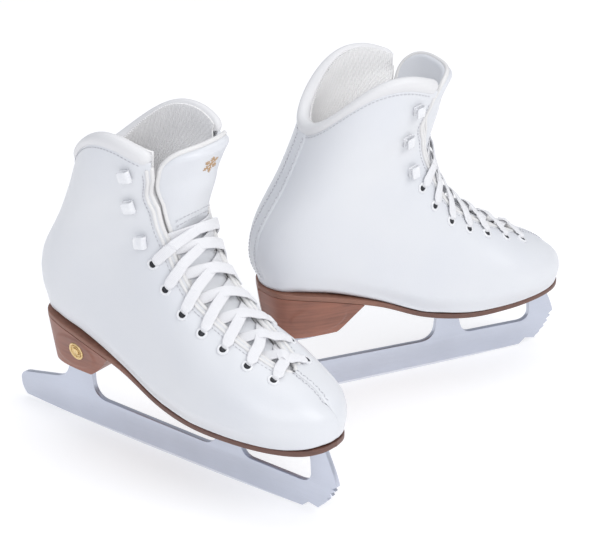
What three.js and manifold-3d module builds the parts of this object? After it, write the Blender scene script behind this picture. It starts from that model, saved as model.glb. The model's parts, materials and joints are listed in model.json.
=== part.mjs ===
// A pair of leather figure skates: boots with steel blades, the right one and its mirror image.
// Millimetres, +Z up. Each skate is drawn in its own frame: X towards the toe, Y towards the
// wearer's left, Z = 0 on the ice, X = 0 at the tip of the lowest toe pick.
import * as THREE from "three";
import { LoftGeometry } from "three/addons/geometries/LoftGeometry.js";
import { mergeVertices } from "three/addons/utils/BufferGeometryUtils.js";
import Module from "manifold-3d";

const wasm = await Module();
wasm.setup();

// ---- driving dimensions ----
const CLEARANCE = 0.3; // between pieces that rest on each other

const BLADE_THICK = 4;
const BLADE_LENGTH = 268; // tail to lowest toe pick
const ROCKER_RADIUS = 2130;
const ROCKER_CONTACT_X = -120;
const REST_HALF_LENGTH = 22; // ground flat about the contact point
const RUNNER_TOP = 21;
const PICK_COUNT = 5;

const SOLE_LINE_Z = 57; // where the upper meets the outsole under the ball of the foot
const OUTSOLE_THICK = 4;
const PLATE_THICK = 2.2;
const HEEL_BOTTOM_Z = 56;
const BREAST_TOP_X = -157;
const BREAST_BOTTOM_X = -177;

const LEATHER = 2.6;
const LINING = 2;
const TONGUE_THICK = 5;
const COLLAR_RADIUS = 4.2;
const EYELETS = [3.15, 3.95, 4.7, 5.4, 6.15, 7, 7.9]; // stations, from the toe up
const HOOKS = [9, 11, 12.8];
const EYELET_RADIUS = 3.4;
const TONGUE_HINGE_STATION = 8.6;

const RIGHT_SKATE = { yaw: -37.2, x: 13, y: 1168 };
const LEFT_SKATE = { yaw: 24.3, x: 178, y: 1415 };

// The boot's cross-sections are fanned about the instep. Each station is a plane through
// `back` (on the sole, the heel or the tendon) and `front` (on the toe, the instep or the shin).
// outer, inner: half widths. split: share of the chord below the widest point.
// square: how square the back or bottom half is. round: the same for the front half.
// bulge: how far the chord bows forward.
function section(back, front, [outer, inner], split, square, round, bulge) {
  return { back, front, outer, inner, split, square, round, bulge };
}
const STATIONS = [
  section([13, 61], [4, 83], [0, 0], 0.45, 2.8, 2.2, 6),
  section([10, 60], [0, 88], [14, 14], 0.42, 3.6, 2.2, 5),
  section([1, 58.5], [-8, 93], [27, 27], 0.38, 4.4, 2.2, 3),
  section([-18, 57.5], [-22, 99], [38, 38], 0.33, 4.8, 2.2, 1),
  section([-45, 57], [-42, 110], [44, 44], 0.3, 5, 2.2, 0),
  section([-78, 57.5], [-64, 124], [44, 42], 0.3, 5, 2.2, 0),
  section([-110, 61.5], [-82, 141], [40, 38], 0.32, 5, 2.3, 0),
  section([-146, 75.5], [-93, 160], [36, 35], 0.36, 4.6, 2.5, 0),
  section([-183, 86.5], [-98, 178], [33.5, 33], 0.4, 3.8, 2.8, 0),
  section([-217, 93], [-98, 193], [32, 32], 0.42, 3, 2.9, 0),
  section([-230, 109], [-97, 207], [33, 33], 0.45, 2.5, 2.8, 0),
  section([-229, 134], [-95, 219], [34, 34], 0.5, 2.3, 2.7, 0),
  section([-209, 168], [-92, 228], [37, 37], 0.52, 2.3, 2.6, 0),
  section([-192, 206], [-89, 235], [40, 40], 0.52, 2.3, 2.5, 0),
  section([-178, 250], [-86, 241], [42, 42], 0.52, 2.3, 2.5, 0),
];
const RIM = STATIONS.length - 1;

// Half width of the lacing gap at some stations.
const GAP = [
  [2.9, 0.15],
  [3.1, 5],
  [3.5, 8],
  [4, 11],
  [5, 15],
  [6, 19],
  [8, 22],
  [10, 25],
  [12, 31],
  [14, 38],
];

// Distance of the eyelets and hooks from the facing's edge at some stations.
const ROW_INSET = [
  [3, 12.5],
  [6, 14],
  [9, 18],
  [14, 19],
];

// The outsole's outline: x, outer half width, inner half width, height of the upper's seam.
const SOLE = [
  [13.5, 1, 1, 58.5],
  [10.5, 14, 13, 57.8],
  [1, 25.5, 23, 57.2],
  [-18, 34, 32, 57],
  [-45, 38.5, 38.5, 57],
  [-78, 38.5, 39.5, 57.3],
  [-110, 34, 32, 61],
  [-145, 31, 29.5, 75],
  [-182, 30, 29.5, 86],
  [-206, 27, 27, 91],
  [-221, 19.5, 19.5, 92.8],
  [-228, 1, 1, 93.3],
];

// ---- finishes ----
function finish(color, roughness, metalness = 0) {
  return new THREE.MeshStandardMaterial({ color, roughness, metalness });
}
const leather = finish(0xf1f1f5, 0.38);
const textile = finish(0xe8e6e4, 0.95);
const lacing = finish(0xf6f6f6, 0.85);
const enamel = finish(0xf2f2f4, 0.3);
const board = finish(0xb08a62, 0.9);
const stiffener = finish(0x9b8f83, 0.8);
const stackedHeel = finish(0x8a4f3c, 0.5);
const soleEdge = finish(0x5c362b, 0.6);
const steel = finish(0xaeb4c4, 0.3, 0.9);
const gold = finish(0xcaa25a, 0.35, 0.8);

// ---- the boot's surface ----
const lerp = THREE.MathUtils.lerp;
const clamp = THREE.MathUtils.clamp;

function smoothValue(values, at) {
  const i = Math.min(Math.floor(at), values.length - 2);
  const t = at - i;
  const before = i > 0 ? values[i - 1] : 2 * values[0] - values[1];
  const after = i + 2 < values.length ? values[i + 2] : 2 * values[i + 1] - values[i];
  const a = 2 * values[i];
  const b = values[i + 1] - before;
  const c = 2 * before - 5 * values[i] + 4 * values[i + 1] - after;
  const d = 3 * values[i] - before - 3 * values[i + 1] + after;
  return 0.5 * (a + b * t + c * t * t + d * t * t * t);
}

const column = (pick) => STATIONS.map(pick);
const COLUMNS = {
  backX: column((s) => s.back[0]),
  backZ: column((s) => s.back[1]),
  frontX: column((s) => s.front[0]),
  frontZ: column((s) => s.front[1]),
  outer: column((s) => s.outer),
  inner: column((s) => s.inner),
  split: column((s) => s.split),
  square: column((s) => s.square),
  round: column((s) => s.round),
  bulge: column((s) => s.bulge),
};
const SEAM_HALF = CLEARANCE / 2;

function station(at) {
  const s = clamp(at, 0, RIM);
  const entries = Object.entries(COLUMNS).map(([key, values]) => [key, smoothValue(values, s)]);
  return Object.fromEntries(entries);
}

const wrapAngle = (phi) => (phi > Math.PI ? phi - 2 * Math.PI : phi);

// phi = 0 at the back or bottom, pi at the front or top, negative on the outer side;
// beyond pi it goes on round to the other side.
function surfacePoint(at, phi) {
  const c = station(at);
  const wrapped = wrapAngle(phi);
  const side = wrapped < 0 ? -1 : 1;
  const cosine = Math.cos(wrapped);
  const power = 2 / (cosine > 0 ? c.square : c.round);
  const reach = cosine > 0 ? c.split : 1 - c.split;
  const t = c.split - Math.sign(cosine) * reach * Math.abs(cosine) ** power;
  const width = Math.max(side < 0 ? c.outer : c.inner, 0);
  const y = side * width * Math.abs(Math.sin(wrapped)) ** power;
  const dx = c.frontX - c.backX;
  const dz = c.frontZ - c.backZ;
  const chord = Math.hypot(dx, dz);
  const bow = (c.bulge * 4 * t * (1 - t)) / chord;
  return new THREE.Vector3(c.backX + dx * t + dz * bow, y, c.backZ + dz * t - dx * bow);
}

function surfaceNormal(at, phi) {
  const step = 0.02;
  const nearest = 2 * step; // the surface is flat across the middle, so it is measured beside it
  const wrapped = wrapAngle(phi);
  const turned = Math.sign(wrapped || 1) * clamp(Math.abs(wrapped), nearest, Math.PI - nearest);
  const s0 = clamp(at - step, 0, RIM);
  const s1 = clamp(at + step, 0, RIM);
  const along = surfacePoint(s1, turned).sub(surfacePoint(s0, turned));
  const around = surfacePoint(at, turned + step).sub(surfacePoint(at, turned - step));
  return along.cross(around).normalize();
}

function bootPoint(at, phi, offset) {
  return surfacePoint(at, phi).addScaledVector(surfaceNormal(at, phi), offset);
}

function tableValue(table, at) {
  const next = table.findIndex((row) => row[0] >= at);
  if (next === -1) return table[table.length - 1][1];
  if (next === 0) return table[0][1];
  const [x0, y0] = table[next - 1];
  const [x1, y1] = table[next];
  return lerp(y0, y1, (at - x0) / (x1 - x0));
}

// The angle, counted from the back, at which the front of the boot is `halfGap` from the middle.
function edgeAngle(at, halfGap, side) {
  const c = station(at);
  const width = side < 0 ? c.outer : c.inner;
  const ratio = clamp(halfGap / Math.max(width, halfGap + 0.001), 0, 1);
  return Math.PI - Math.asin(ratio ** (c.round / 2));
}

const facingAngle = (at, side, inset = 0) => edgeAngle(at, tableValue(GAP, at) + inset, side);

// The angle, counted from the back, that lies `distance` along the surface from the facing's edge.
function angleBehindFacing(at, side, distance) {
  const step = 0.005;
  let phi = facingAngle(at, side);
  let gone = 0;
  while (gone < distance) {
    gone += surfacePoint(at, side * phi).distanceTo(surfacePoint(at, side * (phi - step)));
    phi -= step;
  }
  return phi;
}

// The rim dips at the tendon and falls a little towards the front corners.
function rimStation(phi) {
  const cosine = Math.cos(phi);
  const dip = cosine > 0 ? 0.9 * cosine ** 2 : (-cosine) ** 1.5;
  return RIM - dip;
}

// The station that lies `distance` below the rim at the angle phi.
function belowRim(phi, distance) {
  const step = 0.05;
  let at = rimStation(phi);
  let gone = 0;
  while (gone < distance && at > 1) {
    gone += surfacePoint(at, phi).distanceTo(surfacePoint(at - step, phi));
    at -= step;
  }
  return at;
}

// Where the upper's lower edge is: under the foot it stops short of the middle,
// and behind the heel it closes at the back seam.
const LASTED_ANGLE = 0.15 * Math.PI;
const lowerAngle = (at) => LASTED_ANGLE * clamp((9.7 - at) / 1.1, 0, 1);

// ---- solids ----
const parts = new THREE.Group();

function addPiece(name, geometry, material) {
  const mesh = new THREE.Mesh(geometry, material);
  mesh.name = name;
  parts.add(mesh);
  return mesh;
}

// A curved sheet of the boot, between two offsets from the boot's surface.
// angles(at) gives its two edges at a station; ends(v) gives its first and last station at v,
// from 0 at the first edge to 1 at the second.
function sheet({ ends, angles, outside, inside, rows, columns }) {
  const sections = [];
  for (let i = 0; i <= rows; i++) {
    const ring = [];
    for (let j = 0; j <= 2 * columns + 1; j++) {
      const onInside = j <= columns;
      const v = onInside ? j / columns : (2 * columns + 1 - j) / columns;
      const [first, last] = ends(v);
      const at = lerp(first, last, i / rows);
      const [from, to] = angles(at);
      const point = bootPoint(at, lerp(from, to, v), onInside ? inside : outside);
      ring.push(point);
    }
    sections.push(ring);
  }
  return new LoftGeometry(sections, { capStart: true, capEnd: true });
}

// Keeps a half of the boot on its own side of the seams.
function onOneSide(geometry, side) {
  const position = geometry.getAttribute("position");
  for (let i = 0; i < position.count; i++) {
    const y = position.getY(i);
    position.setY(i, side * Math.max(side * y, SEAM_HALF));
  }
  return geometry;
}

function solid(geometry) {
  const bare = geometry.index ? geometry.toNonIndexed() : geometry.clone();
  bare.deleteAttribute("normal");
  bare.deleteAttribute("uv");
  const merged = mergeVertices(bare, 1e-4);
  const mesh = new wasm.Mesh({
    numProp: 3,
    vertProperties: merged.attributes.position.array,
    triVerts: new Uint32Array(merged.index.array),
  });
  return new wasm.Manifold(mesh);
}

function geometryOf(manifold) {
  const mesh = manifold.getMesh();
  const geometry = new THREE.BufferGeometry();
  geometry.setAttribute("position", new THREE.BufferAttribute(mesh.vertProperties, 3));
  geometry.setIndex(new THREE.BufferAttribute(mesh.triVerts, 1));
  return geometry;
}

const joined = (geometries) => geometryOf(geometries.map(solid).reduce((sum, next) => sum.add(next)));

// A flat outline in the XZ plane made into a plate of the given thickness about Y = 0.
function uprightPlate(shape, thickness) {
  const settings = { depth: thickness, bevelEnabled: false, curveSegments: 6 };
  const geometry = new THREE.ExtrudeGeometry(shape, settings);
  return geometry.rotateX(Math.PI / 2).translate(0, thickness / 2, 0);
}

function roundTube(points, radius, steps, sides) {
  const outline = new THREE.Shape();
  outline.absarc(0, 0, radius, 0, 2 * Math.PI, false);
  const path = new THREE.CatmullRomCurve3(points);
  const settings = { steps, extrudePath: path, curveSegments: sides / 2, bevelEnabled: false };
  return new THREE.ExtrudeGeometry(outline, settings);
}

// ---- blade ----
function rockerZ(x) {
  const beyondFlat = Math.max(Math.abs(x - ROCKER_CONTACT_X) - REST_HALF_LENGTH, 0);
  return beyondFlat ** 2 / (2 * ROCKER_RADIUS);
}

function bladeShape() {
  const shape = new THREE.Shape();
  const tail = -BLADE_LENGTH;
  const bottomStart = tail + 5;
  const bottomEnd = -13;
  const flatStart = ROCKER_CONTACT_X - REST_HALF_LENGTH;
  const flatEnd = ROCKER_CONTACT_X + REST_HALF_LENGTH;
  const frontTop = SOLE_LINE_Z - OUTSOLE_THICK - PLATE_THICK - 2 * CLEARANCE;
  const rearTop = HEEL_BOTTOM_Z - PLATE_THICK - 2 * CLEARANCE;
  const curveSteps = 5;
  shape.moveTo(bottomStart, rockerZ(bottomStart));
  for (const [start, end] of [[bottomStart, flatStart], [flatEnd, bottomEnd]]) {
    for (let i = 0; i <= curveSteps; i++) {
      const x = lerp(start, end, i / curveSteps);
      if (x > bottomStart) shape.lineTo(x, rockerZ(x));
    }
  }
  shape.lineTo(-8, 6);
  shape.lineTo(0, 4.5);
  const pickTop = new THREE.Vector2(15, 25);
  const pickBottom = new THREE.Vector2(0, 4.5);
  for (let i = 1; i <= PICK_COUNT; i++) {
    const tip = pickBottom.clone().lerp(pickTop, i / PICK_COUNT);
    tip.x += 2.2 * Math.sin((Math.PI * i) / PICK_COUNT);
    shape.lineTo(tip.x - 3.6, tip.y - 2.6);
    shape.lineTo(tip.x, tip.y);
  }
  shape.bezierCurveTo(13, 34, 8, 42, 5, frontTop);
  shape.lineTo(-84, frontTop);
  shape.lineTo(-85.5, 33);
  shape.quadraticCurveTo(-86, RUNNER_TOP, -98, RUNNER_TOP);
  shape.lineTo(-184, RUNNER_TOP + 1.5);
  shape.quadraticCurveTo(-197, RUNNER_TOP + 1.5, -197.5, 36);
  shape.lineTo(-198, rearTop);
  shape.lineTo(-218, rearTop);
  shape.bezierCurveTo(-219, 36, -222, 30, -236, 27.5);
  shape.lineTo(tail + 6, 22);
  shape.quadraticCurveTo(tail - 1, 20, tail, 14);
  shape.quadraticCurveTo(tail, 8, bottomStart, rockerZ(bottomStart));
  const window = new THREE.Path();
  window.moveTo(-56, 21.5);
  window.lineTo(-14, 21);
  window.quadraticCurveTo(-6, 21.5, -6, 29);
  window.lineTo(-6.5, 38);
  window.quadraticCurveTo(-7, 45, -14, 45);
  window.lineTo(-60, 45);
  window.quadraticCurveTo(-68, 45, -67, 38);
  window.lineTo(-65, 30);
  window.quadraticCurveTo(-63, 22, -56, 21.5);
  shape.holes.push(window);
  return shape;
}

function plateUnder(outline, thickness, bottom) {
  const shape = new THREE.Shape(outline.map(([x, y]) => new THREE.Vector2(x, y)));
  const geometry = new THREE.ExtrudeGeometry(shape, { depth: thickness, bevelEnabled: false });
  return geometry.translate(0, 0, bottom);
}

function mirrorOutline(half) {
  return [...half, ...half.slice().reverse().map(([x, y]) => [x, -y])];
}

addPiece("blade", uprightPlate(bladeShape(), BLADE_THICK), steel);

const SOLE_PLATE = mirrorOutline([
  [4, 8],
  [-8, 21],
  [-30, 27],
  [-58, 27],
  [-78, 20],
  [-90, 8],
]);
const solePlateBottom = SOLE_LINE_Z - OUTSOLE_THICK - PLATE_THICK - CLEARANCE;
addPiece("sole_plate", plateUnder(SOLE_PLATE, PLATE_THICK, solePlateBottom), steel);

const HEEL_PLATE = mirrorOutline([
  [-181, 12],
  [-188, 19],
  [-208, 19],
  [-216, 9],
]);
const heelPlateBottom = HEEL_BOTTOM_Z - PLATE_THICK - CLEARANCE;
addPiece("heel_plate", plateUnder(HEEL_PLATE, PLATE_THICK, heelPlateBottom), steel);

// ---- sole and heel ----
const SOLE_COLUMNS = [0, 1, 2, 3].map((k) => SOLE.map((row) => row[k]));

function soleAt(along) {
  const [x, outer, inner, z] = SOLE_COLUMNS.map((values) => smoothValue(values, along));
  return { x, outer: Math.max(outer, 0.5), inner: Math.max(inner, 0.5), z };
}

// A board that follows the sole: `grow` widens its outline, top and bottom are heights above
// the seam line.
function soleBoard({ from, to, grow, top, bottom, rows }) {
  const sections = [];
  for (let i = 0; i <= rows; i++) {
    const c = soleAt(lerp(from, to, i / rows));
    const outer = -Math.max(c.outer + grow, 0.4);
    const inner = Math.max(c.inner + grow, 0.4);
    sections.push([
      new THREE.Vector3(c.x, outer, c.z + bottom),
      new THREE.Vector3(c.x, inner, c.z + bottom),
      new THREE.Vector3(c.x, inner, c.z + top),
      new THREE.Vector3(c.x, outer, c.z + top),
    ]);
  }
  return new LoftGeometry(sections.reverse(), { capStart: true, capEnd: true });
}

// Level under the ball so that the sole plate lies flat against it.
const outsole = soleBoard({
  from: 0,
  to: SOLE.length - 1,
  grow: 0,
  top: -1.5,
  bottom: -OUTSOLE_THICK,
  rows: 24,
});
addPiece("outsole", outsole, soleEdge);

function heelBlock() {
  const first = 7.33;
  const last = SOLE.length - 1;
  const rows = 9;
  const bottomBack = -221;
  const sections = [];
  for (let i = 0; i <= rows; i++) {
    const c = soleAt(lerp(first, last, i / rows));
    const share = clamp((c.x - BREAST_TOP_X) / (SOLE[last][0] - BREAST_TOP_X), 0, 1);
    const lowX = lerp(BREAST_BOTTOM_X, bottomBack, share);
    const top = c.z - OUTSOLE_THICK - CLEARANCE;
    const middle = lerp(top, HEEL_BOTTOM_Z, 0.5);
    const waist = 1.5 * Math.sin(Math.PI * share);
    const midX = lerp(c.x, lowX, 0.62) + waist;
    const topWidths = [c.outer, c.inner].map((w) => Math.max(w - 1, 0.6));
    const lowWidths = topWidths.map((w) => Math.max(w * 0.84, 0.5));
    const midWidths = topWidths.map((w) => Math.max(w * 0.9, 0.5));
    sections.push([
      new THREE.Vector3(lowX, -lowWidths[0], HEEL_BOTTOM_Z),
      new THREE.Vector3(lowX, lowWidths[1], HEEL_BOTTOM_Z),
      new THREE.Vector3(midX, midWidths[1], middle),
      new THREE.Vector3(c.x, topWidths[1], top),
      new THREE.Vector3(c.x, -topWidths[0], top),
      new THREE.Vector3(midX, -midWidths[0], middle),
    ]);
  }
  return new LoftGeometry(sections.reverse(), { capStart: true, capEnd: true });
}
const heelSolid = heelBlock();
addPiece("heel_block", heelSolid, stackedHeel);

// A low round badge with a plain face, glued to the heel's outer side.
const badge = new THREE.CylinderGeometry(6.8, 6.3, 1.2, 20);
const badgeMesh = addPiece("heel_badge", badge, gold);
badgeMesh.position.set(-188, -27.6, 71.5);
badgeMesh.rotation.set(0.18, 0, -0.1);

const insoleBoard = soleBoard({ from: 2, to: 8.7, grow: -11, top: 7, bottom: 5, rows: 12 });
addPiece("insole_board", insoleBoard, board);

const footbed = soleBoard({ from: 2.1, to: 8.6, grow: -12, top: 9.8, bottom: 7.3, rows: 12 });
addPiece("footbed", footbed, textile);

// ---- uppers, linings and lacing rows ----
const EYELET_SIDES = 8;
const EYELET_PROFILE = [
  [1.7, 2],
  [EYELET_RADIUS, 2],
  [2.4, 3.1],
  [1.7, 2],
];

// Turns a geometry drawn along +Y so that it stands on the boot at (at, phi).
function standOn(geometry, at, phi) {
  const up = new THREE.Vector3(0, 1, 0);
  const turn = new THREE.Quaternion().setFromUnitVectors(up, surfaceNormal(at, phi));
  return geometry.applyQuaternion(turn).translate(...surfacePoint(at, phi).toArray());
}

function rowAngle(at, side, shift = 0) {
  return side * angleBehindFacing(at, side, tableValue(ROW_INSET, at) + shift);
}

// One half of the boot, as a sheet between two offsets.
function halfBoot({ side, from, inset, lower, below, outside, inside, rows, columns }) {
  const topAngle = facingAngle(RIM, side, inset);
  const geometry = sheet({
    ends: (v) => [from, belowRim(topAngle * (side < 0 ? 1 - v : v), below)],
    angles: (at) => {
      const angle = at < GAP[0][0] ? Math.PI : facingAngle(at, side, inset);
      return side < 0 ? [-angle, -lower(at)] : [lower(at), angle];
    },
    outside,
    inside,
    rows,
    columns,
  });
  return onOneSide(geometry, side);
}

// Seven rings on one thin stay along the facing.
function eyeletRow(side) {
  const halfStay = 2;
  const stay = sheet({
    ends: () => [EYELETS[0] - 0.1, EYELETS[EYELETS.length - 1] + 0.15],
    angles: (at) => {
      const near = rowAngle(at, side, -halfStay);
      const far = rowAngle(at, side, halfStay);
      return side < 0 ? [near, far] : [far, near];
    },
    outside: 2.4,
    inside: 1.5,
    rows: 8,
    columns: 1,
  });
  const profile = EYELET_PROFILE.map(([r, y]) => new THREE.Vector2(r, y));
  const rings = EYELETS.map((at) => {
    return standOn(new THREE.LatheGeometry(profile, EYELET_SIDES), at, rowAngle(at, side));
  });
  return joined([stay, ...rings]);
}

function lacingHook(at, side) {
  const outline = new THREE.Shape();
  outline.moveTo(-4.2, 0.9);
  outline.lineTo(4.2, 0.9);
  outline.lineTo(4.2, 5.7);
  outline.lineTo(-3.6, 5.7);
  outline.lineTo(-3.6, 4.7);
  outline.lineTo(3, 4.7);
  outline.lineTo(3, 1.9);
  outline.lineTo(-4.2, 1.9);
  const hook = new THREE.ExtrudeGeometry(outline, { depth: 6, bevelEnabled: false }).translate(0, 0, -3);
  return standOn(hook, at, rowAngle(at, side));
}

const HALVES = [
  { name: "outer", side: -1 },
  { name: "inner", side: 1 },
];
const liningLower = (at) => 0.27 * Math.PI * clamp((9.9 - at) / 1.1, 0, 1);

for (const { name, side } of HALVES) {
  const leatherHalf = halfBoot({
    side,
    from: 0,
    inset: 0,
    lower: lowerAngle,
    below: 2 * COLLAR_RADIUS + 2,
    outside: 0,
    inside: -LEATHER,
    rows: 20,
    columns: 8,
  });
  addPiece(name + "_upper", leatherHalf, leather);

  const liningHalf = halfBoot({
    side,
    from: 3.7,
    inset: 2,
    lower: liningLower,
    below: 2 * COLLAR_RADIUS + 1.5,
    outside: -LEATHER - 3.6,
    inside: -LEATHER - 3.6 - LINING,
    rows: 10,
    columns: 6,
  });
  addPiece(name + "_lining", liningHalf, textile);

  const bindingPoints = [];
  for (let at = 3.15; at < 12.8; at += 0.8) {
    bindingPoints.push(bootPoint(at, side * facingAngle(at, side, -1.9), -1.4));
  }
  addPiece(name + "_facing_binding", roundTube(bindingPoints, 1.4, 14, 6), leather);
  addPiece(name + "_eyelet_row", eyeletRow(side), enamel);
  HOOKS.forEach((at, i) => addPiece(name + "_hook_" + (i + 1), lacingHook(at, side), enamel));
}

// ---- toe box, heel counter, back stay and collar ----
const toeBox = sheet({
  ends: () => [0.35, 2.6],
  angles: () => [0.22 * Math.PI, 1.78 * Math.PI],
  outside: -LEATHER - 1,
  inside: -LEATHER - 2.2,
  rows: 5,
  columns: 12,
});
addPiece("toe_box", toeBox, stiffener);

const heelCounter = sheet({
  ends: () => [9.85, 12],
  angles: () => [-0.42 * Math.PI, 0.42 * Math.PI],
  outside: -LEATHER - 1.5,
  inside: -LEATHER - 2.5,
  rows: 5,
  columns: 10,
});
addPiece("heel_counter", heelCounter, stiffener);

// The angle at which the back of the boot is `halfWidth` from the middle.
function backAngle(at, halfWidth) {
  const c = station(at);
  return Math.asin((halfWidth / Math.min(c.outer, c.inner)) ** (c.square / 2));
}

const backStay = sheet({
  ends: () => [9.9, belowRim(0, 2 * COLLAR_RADIUS + 2)],
  angles: (at) => [-backAngle(at, 8), backAngle(at, 8)],
  outside: 1.7,
  inside: 0.8,
  rows: 8,
  columns: 3,
});
addPiece("back_stay", backStay, leather);

const collarPoints = [];
const COLLAR_STEPS = 22;
for (let i = 0; i <= COLLAR_STEPS; i++) {
  const side = i < COLLAR_STEPS / 2 ? -1 : 1;
  const reach = facingAngle(RIM, side, 3) * Math.abs((2 * i) / COLLAR_STEPS - 1);
  const phi = side * reach;
  collarPoints.push(bootPoint(belowRim(phi, COLLAR_RADIUS), phi, -COLLAR_RADIUS));
}
addPiece("collar", roundTube(collarPoints, COLLAR_RADIUS, 22, 8), leather);

// ---- tongue ----
// It lies between the facings; the upper length swings forward on its sewn, sprung lower end.
function tongue(first, last, rows) {
  const margin = 4.4;
  const reach = (at) => Math.max(tableValue(GAP, at) - margin, 2.5);
  return sheet({
    ends: () => [first, last],
    angles: (at) => [edgeAngle(at, reach(at), 1), 2 * Math.PI - edgeAngle(at, reach(at), -1)],
    outside: -1,
    inside: -1 - TONGUE_THICK,
    rows,
    columns: 6,
  });
}
addPiece("tongue_lower", tongue(3.7, TONGUE_HINGE_STATION - 0.25, 9), leather);
addPiece("tongue_upper", tongue(TONGUE_HINGE_STATION, RIM - 0.1, 9), leather);

// ---- lace ----
// A flat band along points given as [station, angle, height above the boot's surface].
function band(route, width, thickness, steps) {
  const stops = route.map(([at, phi, height]) => bootPoint(at, phi, height));
  const centres = new THREE.CatmullRomCurve3(stops);
  const ups = new THREE.CatmullRomCurve3(route.map(([at, phi]) => surfaceNormal(at, phi)));
  const sections = [];
  for (let i = 0; i <= steps; i++) {
    const centre = centres.getPoint(i / steps);
    const up = ups.getPoint(i / steps).normalize();
    const across = centres.getTangent(i / steps).cross(up).normalize();
    const corner = (a, u) => {
      const shifted = centre.clone().addScaledVector(across, (a * width) / 2);
      return shifted.addScaledVector(up, (u * thickness) / 2);
    };
    sections.push([corner(-1, -1), corner(-1, 1), corner(1, 1), corner(1, -1)]);
  }
  return new LoftGeometry(sections, { capStart: true, capEnd: true });
}

function lace() {
  const width = 6.5;
  const thick = 1.3;
  const over = 4.9;
  const tuck = 6; // how far past the facing edge the band is drawn
  const steps = 3;
  const across = (at, side) => {
    const angle = angleBehindFacing(at, side, tuck);
    return side < 0 ? 2 * Math.PI - angle : angle;
  };
  const crossing = (from, to, side) => {
    const start = [from, across(from, side), over];
    const middle = [lerp(from, to, 0.5), Math.PI, over - 0.5];
    const end = [to, across(to, -side), over];
    return band([start, middle, end], width, thick, steps);
  };
  const bars = [crossing(EYELETS[0], EYELETS[0], 1)];
  for (let i = 0; i + 1 < EYELETS.length; i++) {
    bars.push(crossing(EYELETS[i], EYELETS[i + 1], 1));
    bars.push(crossing(EYELETS[i], EYELETS[i + 1], -1));
  }
  return joined(bars);
}
addPiece("lace", lace(), lacing);

// ---- the pair ----
function placed(skate, prefix, { yaw, x, y }, mirrored) {
  const group = new THREE.Group();
  for (const mesh of skate.children) {
    const copy = mesh.clone();
    copy.name = prefix + mesh.name;
    group.add(copy);
  }
  group.scale.y = mirrored ? -1 : 1;
  group.rotation.z = THREE.MathUtils.degToRad(yaw);
  group.position.set(x, y, 0);
  return group;
}

const pair = new THREE.Group();
pair.add(placed(parts, "right_", RIGHT_SKATE, false));
pair.add(placed(parts, "left_", LEFT_SKATE, true));

// The origin is under the middle of the pair.
const bounds = new THREE.Box3().setFromObject(pair, true);
const middle = bounds.getCenter(new THREE.Vector3());
pair.position.set(-middle.x, -middle.y, -bounds.min.z);

export default pair;
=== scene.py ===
"""A pair of leather figure skates: the visible surfaces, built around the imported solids."""
import json
import math

import bmesh
import bpy
import numpy as np
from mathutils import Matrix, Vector


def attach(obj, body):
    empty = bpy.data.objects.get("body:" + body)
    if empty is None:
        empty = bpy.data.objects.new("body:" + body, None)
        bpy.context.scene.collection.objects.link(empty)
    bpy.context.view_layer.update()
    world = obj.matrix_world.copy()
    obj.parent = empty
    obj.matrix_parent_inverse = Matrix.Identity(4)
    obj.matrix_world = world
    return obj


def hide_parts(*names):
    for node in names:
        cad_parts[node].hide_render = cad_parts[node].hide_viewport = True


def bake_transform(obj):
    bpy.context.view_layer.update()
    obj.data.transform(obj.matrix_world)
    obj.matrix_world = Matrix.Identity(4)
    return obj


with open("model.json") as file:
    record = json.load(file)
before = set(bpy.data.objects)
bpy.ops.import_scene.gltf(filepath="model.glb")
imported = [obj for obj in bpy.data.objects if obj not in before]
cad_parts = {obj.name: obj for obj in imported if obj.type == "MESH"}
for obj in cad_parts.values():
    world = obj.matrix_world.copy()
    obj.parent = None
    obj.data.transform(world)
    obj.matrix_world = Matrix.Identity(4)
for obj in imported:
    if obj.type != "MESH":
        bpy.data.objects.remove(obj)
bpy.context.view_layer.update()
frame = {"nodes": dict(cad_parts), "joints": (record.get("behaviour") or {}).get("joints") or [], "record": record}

PI = math.pi
MM = 0.001
scene = bpy.context.scene


def linked(name, data):
    """A new object in the scene."""
    made = bpy.data.objects.new(name, data)
    scene.collection.objects.link(made)
    return made


# ---- the camera ----
CAMERA_FROM_CONTACT = (0.08258, -1.24055, 0.722)  # from where the right blade touches the ice
CAMERA_PITCH = 25.1  # degrees below level
CAMERA_LENS = 124.4
CAMERA_SENSOR = 36
MOUNTS = {mount["name"]: np.array(mount["pos_m"], float) for mount in frame["record"]["mounts"]}

camera = linked("camera", bpy.data.cameras.new("camera"))
camera.data.lens = CAMERA_LENS
camera.data.sensor_width = CAMERA_SENSOR
camera.location = MOUNTS["right_blade_ground"] + CAMERA_FROM_CONTACT
camera.rotation_euler = (math.radians(90 - CAMERA_PITCH), 0, 0)
scene.camera = camera

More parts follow.
